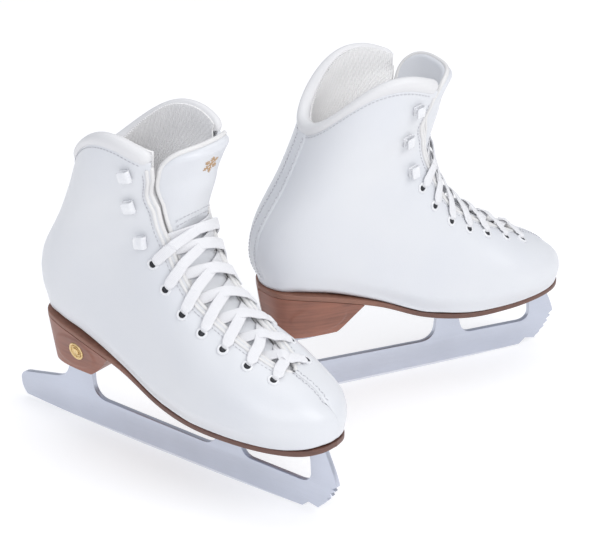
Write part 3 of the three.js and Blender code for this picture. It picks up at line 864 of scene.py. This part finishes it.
def settled(points, at, phi):
    """Bring the lower edge of the lasted leather out and down to the edge of the sole."""
    def sole_height(x):
        return np.interp(x, SOLE[::-1, 0], SOLE[::-1, 3])

    spot = points[..., :2]
    above = points[..., 2] - sole_height(points[..., 0])
    line = sole_edge_line()
    step = np.roll(line, -1, 0) - line
    along = ((spot[..., None, :] - line) * step).sum(-1) / (step**2).sum(-1)
    near = line + np.clip(along, 0, 1)[..., None] * step
    pick = np.linalg.norm(spot[..., None, :] - near, axis=-1).argmin(-1)
    nearest = np.take_along_axis(near, pick[..., None, None], -2)[..., 0, :]
    low = 1 - smoothstep(0, SETTLE_HEIGHT, above)
    upright = np.maximum(smoothstep(0.15, 0.26, np.abs(phi) / PI), smoothstep(8.6, 9.4, at))
    spot = lerp(spot, nearest, (low * upright)[..., None])
    above = above - np.clip(above, 0, SETTLE_DROP) * low
    height = sole_height(spot[..., 0]) + above
    return np.concatenate([spot, height[..., None]], -1)


def upper(side):
    rim = rim_line(COLLAR_DEPTH - 2.5)

    def stop(at):
        return np.where(at < THROAT, PI, facing_angle(at, 1))

    at, phi = even_grid(upper_rows(), 60, 0, rim, lower_angle, stop)
    phi = side * phi
    middle = np.abs(surface(at, phi)[..., 1])
    seam = np.exp(-((middle / SEAM_WIDTH) ** 2)) * ((at < THROAT + 0.2) | (at > 9.7))
    wander = SWELL * np.sin(at * 2.1 + phi * 3.3) * np.sin(at * 1.3 - phi * 2.2)
    soft = smoothstep(0.5, 2.5, at) * (1 - smoothstep(11, 13, at))
    facing = normal(at, phi)
    points = settled(boot(at, phi, wander * soft - SEAM_DEPTH * seam), at, phi)
    points[..., 1] = side * np.maximum(side * points[..., 1], MIDDLE_GAP)
    return grid_shape(points, facing)


def build_uppers():
    for name, side in SIDES.items():
        add_pair(name + "_upper", upper(side), "leather", "white_leather", [name + "_upper"],
                 after=lambda piece: thicken(piece, LEATHER, 0.6))


# ---- edges of the facing ----
def facing_path(side, inset, offset, first, last, count=90):
    at = np.linspace(first, last, count)
    phi = side * behind_facing(at, side, inset)
    return on_boot(at, phi, offset)


FACING_TOP = 12.75
STITCHES_PROUD = 0.12


def build_facings():
    for name, side in SIDES.items():
        edge, _ = facing_path(side, -0.2, -1.0, 2.97, FACING_TOP)
        rib, _ = facing_path(side, 3.3, 0.15, 3.1, FACING_TOP)
        shape = merged([tube(edge, 1.5), tube(rib, 1.25)])
        nodes = [name + "_facing_binding"]
        add_pair(name + "_facing_piping", shape, "binding", "binding_leather", nodes)
        line, ups = facing_path(side, 6.6, STITCHES_PROUD, 3.0, FACING_TOP - 0.15, 160)
        add_stitches(name + "_facing", stitches(line, ups))


# ---- collar and lining ----
def rim_angles(count, inset=0.0):
    """Angles spaced evenly round the rim, from the outer front corner to the inner one."""
    end = facing_angle(RIM - 1, 1, inset)
    phi = np.linspace(-end, end, 400)
    lengths = run_lengths(surface(rim_station(phi), phi))
    return np.interp(np.linspace(0, lengths[-1], count), lengths, phi)


def rounded_end(steps):
    """Grows as a quarter circle from 0 to 1 over the first four steps from an end."""
    return np.sqrt(1 - (1 - np.clip(steps / 4, 0, 1)) ** 2)


# depth below the rim and offset from the leather, once round the padded roll
COLLAR_PROFILE = [
    (9.2, -0.9), (8.8, 0.2), (7.2, 0.8), (5, 1.3), (2.8, 1.1), (1, 0.2), (-0.2, -1.2), (-0.7, -2.9),
    (-0.4, -4.5), (0.8, -5.8), (3, -6.5), (6, -6.6), (8.2, -6.4), (8.6, -5.2), (8.4, -3.6), (8.9, -2.2),
]


def collar():
    count = 120
    phi = rim_angles(count)
    profile = smoothed(COLLAR_PROFILE + COLLAR_PROFILE[:1], 49)[:-1]
    depth = np.tile(profile[:, 0], (count, 1))
    offset = np.tile(profile[:, 1], (count, 1))
    back = np.clip(np.cos(phi), 0, 1)[:, None] ** 2
    puffed = np.exp(-(((depth - 4) / 5) ** 2))
    offset = offset + back * puffed * 1.4 * (offset > -4)
    ends = np.minimum(np.arange(count), np.arange(count)[::-1])[:, None]
    close = rounded_end(ends) * 0.97 + 0.03
    depth = lerp(5.0, depth, close)
    offset = lerp(-3.6, offset, close)
    angles = np.broadcast_to(phi[:, None], depth.shape)
    return rod(boot(below_rim(angles, depth), angles, offset))


def rim_stitches(depth):
    phi = rim_angles(200, 3.0)
    return stitches(*on_boot(below_rim(phi, depth), phi, STITCHES_PROUD))


LINING_START = 3.2  # station
LINING_COLUMNS = 420
RIB_DEPTH = 0.2
# how far inside the leather the lining lies: on its sides, at the facing and under the collar
LINING_DEPTH = 6.4
LINING_FACING_DEPTH = 4.4
LINING_COLLAR_DEPTH = 7.6


def lining(side):
    rim = rim_line(1.6)
    fractions = np.concatenate([np.linspace(0, 0.9, 40), np.linspace(0.91, 1, 14)])

    def start(at):
        return 0.27 * PI * np.clip((9.9 - at) / 1.1, 0, 1)

    def stop(at):
        return facing_angle(at, 1, -0.5)

    at, phi = even_grid(fractions, LINING_COLUMNS, LINING_START, rim, start, stop)
    phi = side * phi
    share = np.linspace(0, 1, LINING_COLUMNS)
    longest = run_lengths(surface(at, phi)).max()
    ribs = RIB_DEPTH * np.sin(2 * PI * share[None] * longest / RIB_PITCH)
    depth = lerp(LINING_DEPTH, LINING_FACING_DEPTH, smoothstep(0.93, 1, share))
    depth = lerp(depth, LINING_COLLAR_DEPTH, 1 - smoothstep(0.15, 1.0, rim(phi) - at))
    points = boot(at, phi, ribs - depth)
    return grid_shape(points, -normal(at, phi))


def build_collar():
    for piece in add_pair("collar", collar(), "soft_leather", "white_leather", ["collar"]):
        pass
    add_stitches("collar", rim_stitches(COLLAR_DEPTH + 1.8))
    for name, side in SIDES.items():
        add_pair(name + "_lining", lining(side), "lining", "lining_textile", [name + "_lining"],
                 after=lambda piece: thicken(piece, 1.2, 0.3))


# ---- back stay and toe seam ----
def strip_points(at, reach, offsets):
    """Rows across the back of the boot; offsets follow the share from edge to edge."""
    rows = []
    for share, offset in zip(np.linspace(-1, 1, len(offsets)), offsets):
        phi = back_angle(at, share * reach)
        rows.append(settled(boot(at, phi, np.full(len(at), offset)), at, phi))
    return np.stack(rows, 1)


BACK_STAY_START = 9.5  # station
BACK_STAY_REACH = 6.6
BACK_STITCH_REACH = 4.7
TOE_STITCH_REACH = 2.3


def back_stay():
    at = np.linspace(BACK_STAY_START, float(below_rim(0.0, COLLAR_DEPTH - 1.5)), 76)
    offsets = [0.05, 0.75, 1.05, 1.15, 1.15, 1.1, 0.8, 1.1, 1.15, 1.15, 1.05, 0.75, 0.05]
    points = strip_points(at, BACK_STAY_REACH, offsets)
    return grid_shape(points, normal(at, 0.0 * at)[:, None] + 0 * points)


def seam_stitches(at, phi, offset, pitch, zigzag):
    return stitches(settled(boot(at, phi, offset), at, phi), normal(at, phi), pitch, zigzag)


def back_lines(reach):
    at = np.linspace(BACK_STAY_START + 0.1, float(below_rim(0.0, COLLAR_DEPTH + 1)), 150)
    return seam_stitches(at, back_angle(at, reach), 1.2, 2.6, 0.5)


def toe_lines(side):
    at = np.linspace(0.35, THROAT + 0.05, 120)
    phi = side * edge_angle(at, TOE_STITCH_REACH, side)
    return seam_stitches(at, phi, 0.1, 2.5, 0.45)


def build_seams():
    add_pair("back_stay", back_stay(), "leather", "white_leather", ["back_stay"],
             after=lambda piece: thicken(piece, 0.8, 0.3))
    add_stitches("back", back_lines(BACK_STITCH_REACH), back_lines(-BACK_STITCH_REACH))
    add_stitches("toe", toe_lines(1), toe_lines(-1))


# ---- tongue ----
TONGUE_START = 3.3
TONGUE_SHOULDER = 11.2
TONGUE_TOP = 13.7
TONGUE_MARGIN = 1.0
CORNER = 3.4  # squareness of the tongue's top corners
TONGUE_EDGE = 1.4  # from the tongue's reach in to its padding
TONGUE_BEND = (8.7, 10.2)  # stations on the front's middle; add_pair works out their points and uses them no further


def tongue_point(at, across, offset):
    """across is millimetres to the inner side (positive) or the outer side."""
    inner = edge_angle(at, np.abs(across), 1)
    outer = 2 * PI - edge_angle(at, np.abs(across), -1)
    phi = np.where(across >= 0, inner, outer)
    return on_boot(at, phi, offset)


def tongue_reach(at):
    edge = surface(at, behind_facing(at, 1, -TONGUE_MARGIN))
    return np.maximum(edge[..., 1], 2.2)


def tongue_puff(at):
    """0 where the tongue is flat under the lace, 1 where it is full."""
    return smoothstep(8, 10.5, at)


def tongue_crown(share, puff):
    return (1 - share**2) * lerp(0.2, 4.5, puff)


def tongue_face(at, across):
    """How far the tongue's front stands off the boot."""
    share = across / (tongue_reach(at) - TONGUE_EDGE)
    puff = tongue_puff(at)
    return lerp(-2.4, 0.8, puff) + tongue_crown(share, puff)


def tongue_top(share):
    return lerp(TONGUE_SHOULDER, TONGUE_TOP, (1 - np.abs(share) ** CORNER) ** (1 / CORNER))


def tongue():
    rows = 90
    turn = turns(64)
    share = np.sign(np.cos(turn)) * np.abs(np.cos(turn)) ** 0.9 * 0.995
    height = np.sign(np.sin(turn)) * np.abs(np.sin(turn)) ** 0.75
    along = np.linspace(0, 1, rows)[:, None]
    at = lerp(TONGUE_START, tongue_top(share)[None], along)
    across = share[None] * (tongue_reach(at) - TONGUE_EDGE)
    puff = tongue_puff(at)
    crown = tongue_crown(share[None], puff) * (height[None] > 0)
    pad = height[None] * lerp(2.0, 3.0, puff) + crown
    offset = lerp(-4.4, -2.2, puff) + pad * rounded_end(np.minimum(along, 1 - along) * rows)
    return rod(tongue_point(at, across, offset)[0])


def tongue_border(grow, offset):
    """The line round the tongue's edge, up one side, over the top and down the other."""
    rise = np.linspace(6.5, TONGUE_SHOULDER, 50)
    turn = np.linspace(0, PI, 150)
    corner = np.abs(np.cos(turn)) ** (2 / CORNER) * np.sign(np.cos(turn))
    height = lerp(TONGUE_SHOULDER, TONGUE_TOP, np.sin(turn) ** (2 / CORNER))
    at = np.concatenate([rise, height[1:-1], rise[::-1]])
    share = np.concatenate([np.ones(len(rise)), corner[1:-1], -np.ones(len(rise))])
    offset = offset + 2.2 * tongue_puff(at) - 2.2
    points, _ = tongue_point(at, share * (tongue_reach(at) + grow), offset)
    return evenly(points, 1.6)


def tongue_band(at):
    """A row of stitches across the tongue."""
    across = np.linspace(-1, 1, 60) * (tongue_reach(at) - 5)
    offset = tongue_face(at, across) + STITCHES_PROUD
    return stitches(*tongue_point(np.full(60, at), across, offset))


CREST_AT = 11.95
CREST_REACH = 6.5
CREST_BRANCHES = ((0.45, 0.26), (0.72, 0.2))  # place along an arm and length, as shares of it


def crest():
    """An embroidered six-armed ice crystal, high on the tongue."""
    climb = np.linalg.norm(surface(CREST_AT + 0.5, PI) - surface(CREST_AT - 0.5, PI))

    def heading(angle):
        return np.array([math.cos(angle), math.sin(angle)])

    strokes = []
    for angle in turns(6) + PI / 2:
        arm = heading(angle)
        strokes.append((0 * arm, arm))
        for place, length in CREST_BRANCHES:
            for lean in (-PI / 3, PI / 3):
                strokes.append((place * arm, place * arm + length * heading(angle + lean)))
    threads = []
    for start, end in strokes:
        line = lerp(start, end, np.linspace(0, 1, 8)[:, None]) * CREST_REACH
        at = CREST_AT + line[:, 1] / climb
        across = line[:, 0]
        threads.append(tube(tongue_point(at, across, tongue_face(at, across))[0], 0.42, 8))
    return merged(threads)


def build_tongue():
    bend = tuple(surface(at, PI) for at in TONGUE_BEND)
    nodes = ["tongue_lower", "tongue_upper"]
    for piece in add_pair("tongue", tongue(), "leather", "white_leather", nodes, blend=bend):
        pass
    piping = tube(tongue_border(-1.6, -2.1), 1.6, 12)
    add_pair("tongue_piping", piping, "binding", "binding_leather", blend=bend)
    add_pair("tongue_crest", crest(), "crest", "badge_gold", body="tongue")
    add_stitches("tongue", tongue_band(8.55), tongue_band(8.85), blend=bend)


# ---- eyelets, hooks and lace ----
EYELET_PROFILE = [(2.3, -0.3), (2.3, 0.55), (2.5, 0.9), (2.9, 1.05), (3.4, 0.95), (3.9, 0.6), (4.15, 0.1),
                  (4.15, -0.3)]


def row_inset(at):
    return np.interp(at, ROW_INSET[:, 0], ROW_INSET[:, 1])


def row_angle(at, side):
    return side * behind_facing(at, side, row_inset(at))


def hook_shape():
    """A strap that turns over towards the heel, with a rounded head and a riveted foot."""
    bend = [(1.9 + 2.1 * math.sin(a), 2.7 - 2.1 * math.cos(a)) for a in np.linspace(0, PI, 9)]
    line = [(-3.4, 0.6), (-0.6, 0.6), *bend, (-0.4, 4.85), (-2.6, 5.05), (-3.7, 5.4)]
    path = smoothed(line, 46)
    tangent = unit(np.gradient(path, axis=0))
    centres = np.stack([path[:, 0], 0 * path[:, 0], path[:, 1]], 1)
    ups = np.stack([-tangent[:, 1], 0 * path[:, 0], tangent[:, 0]], 1)
    from_end = np.linspace(1, 0, len(path))
    head = 8.8 - 3.0 * (1 - np.clip(from_end / 0.1, 0, 1)) ** 2
    foot = np.clip((1 - from_end) / 0.3, 0, 1)
    strap = ribbon(centres, ups, np.minimum(head, lerp(7, 8.6, foot)), 1.15, 0.05)
    rivet = lathe([(0.01, 0.9), (1.9, 0.9), (1.8, 1.5), (1.2, 1.85), (0.01, 2.0)], 18)
    return merged([strap, moved(rivet, [-1.2, 0, 0])])


def build_hardware():
    for name, side in SIDES.items():
        rings = [stand(lathe(EYELET_PROFILE), at, row_angle(at, side)) for at in EYELETS]
        # painted shade: a dark disc fills each eyelet's opening, where the hole's inside lies in shade
        hole_shades = [stand(disc(2.4, 0.32), at, row_angle(at, side)) for at in EYELETS]
        add_pair(name + "_eyelets", merged(rings), "enamel", "white_enamel", [name + "_eyelet_row"])
        add_pair(name + "_eyelet_holes", merged(hole_shades), "hole_shade", "stiffener")
        for k, at in enumerate(HOOKS):
            hook = f"{name}_hook_{k + 1}"
            shape = stand(hook_shape(), at, row_angle(at, side))
            add_pair(hook, shape, "enamel", "white_enamel", [hook])


LACE_WIDTH = 7.6
LACE_THICK = 1.1


def lace_band(stops, count, widths):
    """A stretch of lace through stops: station, side (0: the middle), distance behind the facing
    and height above the boot."""
    places = []
    for at, side, distance, height in stops:
        phi = side * behind_facing(at, side, distance) if side else PI
        places.append(on_boot(at, phi, height))
    points, ups = (smoothed(column, count) for column in zip(*places))
    return ribbon(points, unit(ups), widths, LACE_THICK)


def lace_crossing(start, end, side, lift):
    """From one eyelet up over the facing, across the tongue and under the other facing."""
    inset = float(row_inset(start))
    stops = [
        (start, side, inset - 0.9, -0.7),
        (start, side, inset - 2.8, 1.7),
        (lerp(start, end, 0.03), side, inset - 6, 1.6),
        (lerp(start, end, 0.1), side, 4.0, 2.2),
        (lerp(start, end, 0.17), side, -0.5, 2.7),
        (lerp(start, end, 0.25), side, -4.5, 2.6),
        (lerp(start, end, 0.5), 0, 0, lift),
        (lerp(start, end, 0.8), -side, -4.2, -1.6),
        (lerp(start, end, 0.9), -side, -0.5, -3.4),
        (lerp(start, end, 0.97), -side, 4.0, -4.1),
        (end, -side, 8.0, -4.2),
    ]
    count = 60
    narrow_start = lerp(0.5, 1, smoothstep(0.03, 0.2, np.linspace(0, 1, count)))
    return lace_band(stops, count, LACE_WIDTH * narrow_start)


def lace_bar():
    """The straight stretch under the lowest eyelets."""
    ends = ((-1, 8), (-1, 2), (1, 2), (1, 8))
    return lace_band([(EYELETS[0], side, distance, -4.0) for side, distance in ends], 30, LACE_WIDTH)


def build_lace():
    bands = [lace_bar()]
    tops = EYELETS[1:] + [EYELETS[-1] + 0.4]
    for start, end in zip(EYELETS, tops):
        bands.append(lace_crossing(start, end, -1, 2.4))
        bands.append(lace_crossing(start, end, 1, 4.0))
    add_pair("lace", merged(bands), "lace", "lace_weave", ["lace"])


# ---- blade ----
BLADE_LENGTH = 268
BLADE_THICK = 4
ROCKER_RADIUS = 2130
REST_HALF_LENGTH = 22
RUNNER_TOP = 21
PICK_COUNT = 5
PLATE_UNDERSIDE = 50.2
HEEL_PLATE_UNDERSIDE = 53.2


def rocker(x):
    beyond = np.maximum(np.abs(x - GROUND_CONTACT_X) - REST_HALF_LENGTH, 0)
    return beyond**2 / (2 * ROCKER_RADIUS)


def bezier(*controls, count=24):
    t = np.linspace(0, 1, count)[:, None]
    points = [np.asarray(c, float)[None] + 0 * t for c in controls]
    while len(points) > 1:
        points = [lerp(a, b, t) for a, b in zip(points, points[1:])]
    return points[0][1:].tolist()


def drawn(line, *moves, count=24):
    """The line carried on by moves: straight to one point, or a Bezier curve with its controls."""
    for move in moves:
        line = line + (bezier(line[-1], *move, count=count) if len(move) > 1 else move)
    return line


def blade_outline():
    tail = -BLADE_LENGTH
    line = [(x, float(rocker(x))) for x in np.linspace(tail + 5, -13, 60)]
    line += [(-8, 6), (0, 4.5)]
    for i in range(1, PICK_COUNT + 1):
        share = i / PICK_COUNT
        tip = (lerp(0, 15, share) + 2.2 * math.sin(PI * share), lerp(4.5, 25, share))
        line += [(tip[0] - 3.6, tip[1] - 2.6), tip]
    line = drawn(
        line,
        [(13, 34), (8, 42), (5, PLATE_UNDERSIDE)],
        [(-84, PLATE_UNDERSIDE)],
        [(-85.5, 33)],
        [(-86, RUNNER_TOP), (-98, RUNNER_TOP)],
        [(-184, RUNNER_TOP + 1.5)],
        [(-197, RUNNER_TOP + 1.5), (-197.5, 36)],
        [(-198, HEEL_PLATE_UNDERSIDE)],
        [(-218, HEEL_PLATE_UNDERSIDE)],
        [(-219, 36), (-222, 30), (-236, 27.5)],
        [(tail + 6, 22)],
    )
    return drawn(line, [(tail - 1, 20), (tail, 14)], [(tail, 8), line[0]], count=10)[:-1]


def blade_window():
    return drawn(
        [(-56, 21.5)],
        [(-14, 21)],
        [(-6, 21.5), (-6, 29)],
        [(-6.5, 38)],
        [(-7, 45), (-14, 45)],
        [(-60, 45)],
        [(-68, 45), (-67, 38)],
        [(-65, 30)],
        [(-63, 22), (-56, 21.5)],
        count=12,
    )[:-1]


def plate(outlines, thickness, bevel):
    """A flat plate with softened edges, from closed outlines; drawn in XY, centred on Z = 0."""
    curve = bpy.data.curves.new("plate", "CURVE")
    curve.dimensions = "2D"
    curve.fill_mode = "BOTH"
    curve.extrude = thickness / 2 - bevel
    curve.bevel_depth = bevel
    curve.bevel_resolution = 1
    curve.offset = -bevel
    for outline in outlines:
        spline = curve.splines.new("POLY")
        spline.points.add(len(outline) - 1)
        spline.points.foreach_set("co", [v for x, y in outline for v in (x, y, 0, 1)])
        spline.use_cyclic_u = True
    holder = linked("plate", curve)
    graph = bpy.context.evaluated_depsgraph_get()
    mesh = bpy.data.meshes.new_from_object(holder.evaluated_get(graph))
    welded = bmesh.new()
    welded.from_mesh(mesh)
    bmesh.ops.remove_doubles(welded, verts=welded.verts, dist=0.001)
    bmesh.ops.recalc_face_normals(welded, faces=welded.faces)
    points = np.array([v.co for v in welded.verts])
    faces = [[v.index for v in f.verts] for f in welded.faces]
    welded.free()
    bpy.data.objects.remove(holder)
    return points, faces, points[:, :2] * MM


def flat_shaded(piece):
    piece.data.set_sharp_from_angle(angle=math.radians(30))


def build_blade():
    points, faces, uv = plate([blade_outline(), blade_window()], BLADE_THICK, 0.3)
    upright = np.stack([points[:, 0], points[:, 2], points[:, 1]], 1)
    shape = (upright, [f[::-1] for f in faces], uv)
    add_pair("blade", shape, "blade", "blade_steel", ["blade"], after=flat_shaded)


def rounded_outline(half):
    """A smooth closed outline from its half above the middle line."""
    full = half + [(x, -y) for x, y in half[::-1]]
    table = np.array(full + full[:3], float)
    return catmull(table, np.linspace(1, len(full) + 1, 90, endpoint=False)).tolist()


SOLE_PLATE = [(5, 7), (-8, 21), (-30, 27), (-58, 27), (-78, 20), (-90, 7)]
PLATE_BOTTOMS = {"sole": 50.5, "heel": 53.5}
HEEL_PLATE = [(-181, 8), (-188, 19), (-208, 19), (-216, 8)]
PLATE_THICK = 2.2
SCREW_PLACES = {
    "sole": [(-4, 12), (-24, 20), (-46, 21), (-68, 17)],
    "heel": [(-188, 12), (-207, 12)],
}


SCREW_HEAD = [(0.01, 0), (2.2, 0), (2.9, -0.35), (2.9, -0.75), (2.3, -1.0), (1.5, -1.1), (0.01, -1.1)]


def screw_slot_shades():
    """The cross recess of a screw as a near-black shape, looking down along -Z: painted shade in the recess."""
    arms = []
    for x, y in ((1.9, 0.42), (0.42, 1.9)):
        box = np.array([[-x, -y, 0], [x, -y, 0], [x, y, 0], [-x, y, 0]])
        arms.append(rod(np.stack([box + [0, 0, -1.0], box + [0, 0, -1.18]])))
    return merged(arms)


def build_plates():
    for name, half in (("sole", SOLE_PLATE), ("heel", HEEL_PLATE)):
        bottom = PLATE_BOTTOMS[name]
        level = plate([rounded_outline(half)], PLATE_THICK, 0.4)
        shape = moved(level, [0, 0, bottom + PLATE_THICK / 2])
        add_pair(name + "_plate", shape, "plate", "plate_steel", [name + "_plate"], after=flat_shaded)
        places = [(x, sign * y, bottom) for x, y in SCREW_PLACES[name] for sign in (1, -1)]
        heads = merged([moved(lathe(SCREW_HEAD, 24), place) for place in places])
        # painted shade: dark crosses stand for the shaded recesses of the screw heads
        slot_shades = merged([moved(screw_slot_shades(), place) for place in places])
        add_pair(name + "_plate_screws", heads, "screw", "plate_steel")
        add_pair(name + "_plate_screw_slots", slot_shades, "hole_shade", "stiffener")


# ---- sole and heel ----
OUTSOLE_THICK = 4
HEEL_BOTTOM_Z = 56
BREAST_TOP_X = -157  # the breast is the heel's front face
BREAST_BOTTOM_X = -177
HEEL_FIRST_ROW = 7.33


def sole_board(first, last, grow, top, bottom, rows, edge):
    """A board that follows the sole, with rounded edges."""
    c = catmull(SOLE, np.linspace(first, last, rows))
    x, z = c[:, 0], c[:, 3]
    outer = -np.maximum(c[:, 1] + grow, 0.4)
    inner = np.maximum(c[:, 2] + grow, 0.4)
    turn = np.linspace(0, PI / 2, 5)
    ring = []
    for y, sign in ((inner, 1), (outer, -1)):
        r = np.minimum(edge, np.abs(y) * 0.9)
        up = [(y - sign * r * (1 - np.sin(a)), z + top - r * (1 - np.cos(a))) for a in turn]
        down = [(y - sign * r * (1 - np.cos(a)), z + bottom + r * (1 - np.sin(a))) for a in turn]
        ring += up + down if sign > 0 else (up + down)[::-1]
    return rod(np.stack([np.stack([x, y, h], 1) for y, h in ring], 1))


def heel_block():
    rows, levels = 120, 26
    c = catmull(SOLE, np.linspace(HEEL_FIRST_ROW, len(SOLE) - 1, rows))
    share = np.clip((c[:, 0] - BREAST_TOP_X) / (SOLE[-1, 0] - BREAST_TOP_X), 0, 1)
    low_x = lerp(BREAST_BOTTOM_X, -221, share)
    top = c[:, 3] - OUTSOLE_THICK - 0.1
    widths = np.maximum(c[:, 1:3] - 1, 0.6)
    rings = []
    for side in (1, -1):
        for k in range(levels):
            up = k / (levels - 1) if side > 0 else 1 - k / (levels - 1)
            x = lerp(low_x, c[:, 0], up**0.8) - 1.5 * np.sin(PI * share) * np.sin(PI * up)
            height = lerp(HEEL_BOTTOM_Z, top, up)
            narrow = lerp(0.84, 1, up) - 0.03 * np.sin(PI * up)
            reach = np.hypot((x + 192) / 21, (height - 70) / 11.5)
            panel = 0.7 * (1 - smoothstep(0.93, 1.03, reach))
            y = side * np.maximum(widths[:, 1 if side > 0 else 0] * narrow + panel, 0.4)
            rings.append(np.stack([x, y, height], 1))
    return rod(np.stack(rings, 1))


def build_sole():
    last = len(SOLE) - 1
    outsole = sole_board(0.03, last - 0.1, -0.9, -0.2, -OUTSOLE_THICK, 160, 0.9)
    add_pair("outsole", outsole, "sole", "sole_edge", ["outsole"])
    add_pair("heel_block", heel_block(), "heel", "heel_stack", ["heel_block"],
             after=lambda piece: soft_edges(piece, 0.9, 3))
    footbed = sole_board(2.1, 8.8, -9, 10.4, 7.2, 110, 1.3)
    add_pair("footbed", footbed, "footbed", "lining_textile", ["footbed"])


BADGE_RIM = [(0.01, 0), (6.5, 0), (6.7, 0.5), (6.3, 1.0), (5.6, 1.05), (5.3, 0.7), (0.01, 0.75)]
BADGE_CENTRE = [(0.01, 0.7), (2.7, 0.7), (2.4, 1.1), (1.3, 1.35), (0.01, 1.4)]
BADGE_BEAD = [(0.01, 0), (0.6, 0), (0.53, 0.45), (0.3, 0.62), (0.01, 0.7)]
BADGE_PLACE = [-188, -26.5, 71.5]


def build_badge():
    """A plain round medallion with a beaded rim on the heel's outer side."""
    shapes = [lathe(BADGE_RIM, 48), lathe(BADGE_CENTRE, 32)]
    for a in turns(18):
        shapes.append(moved(lathe(BADGE_BEAD, 10), [4.5 * math.cos(a), 4.5 * math.sin(a), 0.7]))
    up = unit(np.array([-0.1, -0.98, -0.18]))
    badge = turned(merged(shapes), up, np.array([0.98, -0.1, 0]), BADGE_PLACE)
    add_pair("heel_badge", badge, "gold", "badge_gold", ["heel_badge"])


def dress_hidden_nodes():
    """The pieces between leather and lining keep their solids, with their own materials."""
    hidden = {"insole_board": "board", "toe_box": "stiffener", "heel_counter": "stiffener"}
    for skate in SKATES:
        for node, material in hidden.items():
            mesh = frame["nodes"][f"{skate.side}_{node}"].data
            mesh.materials.clear()
            mesh.materials.append(MATERIALS[material])


# ---- stage and light, in metres ----
FLOOR_HALF = 6.0
FLOOR_GAP = 0.0004  # below the blades
# name, place, what it is aimed at, width and height, power, colour
LIGHTS = [
    ("key", (1.6, -1.2, 1.7), (0, 0, 0.1), (1.5, 1.5), 25, (1, 0.99, 0.97)),
    ("top", (0.1, 0.5, 2.4), (0, 0, 0.1), (2.4, 2.0), 19, (1, 1, 1)),
    ("left", (-2.2, -0.8, 1.1), (0, 0, 0.12), (1.4, 1.8), 4, (0.9, 0.93, 1)),
    ("front", (-0.2, -1.7, 1.25), (0, 0, 0.15), (1.4, 0.9), 9, (0.98, 0.98, 1)),
]


def build_stage():
    n = Nodes("stage", 0.7)
    n.shader.inputs["Specular IOR Level"].default_value = 0.2
    colour = n.ramp(n.noise(3, 2), [(0.3, (0.6, 0.6, 0.61)), (0.7, (0.62, 0.62, 0.63))])
    material = n.done(colour)
    n.shader.inputs["Emission Color"].default_value = (1, 1, 1, 1)
    n.shader.inputs["Emission Strength"].default_value = 0.5
    half = FLOOR_HALF
    mesh = bpy.data.meshes.new("floor")
    corners = [(-half, -half), (half, -half), (half, half), (-half, half)]
    mesh.from_pydata([(x, y, -FLOOR_GAP) for x, y in corners], [], [(0, 1, 2, 3)])
    mesh.materials.append(material)
    floor = linked("floor", mesh)


def add_light(name, place, aim, size, power, colour):
    light = bpy.data.lights.new(name, "AREA")
    light.shape = "RECTANGLE"
    light.size, light.size_y = size
    light.energy = power
    light.color = colour
    holder = linked(name, light)
    holder.location = place
    direction = Vector(aim) - Vector(place)
    holder.rotation_euler = direction.to_track_quat("-Z", "Y").to_euler()


def build_light():
    world = bpy.data.worlds.new("studio")
    world.use_nodes = True
    background = world.node_tree.nodes["Background"]
    background.inputs["Color"].default_value = (0.9, 0.93, 1.0, 1)
    background.inputs["Strength"].default_value = 0.5
    scene.world = world
    scene.view_settings.view_transform = "Standard"
    for light in LIGHTS:
        add_light(*light)


build_uppers()
build_facings()
build_collar()
build_seams()
build_tongue()
build_hardware()
build_lace()
build_blade()
build_plates()
build_sole()
build_badge()
dress_hidden_nodes()
build_stage()
build_light()
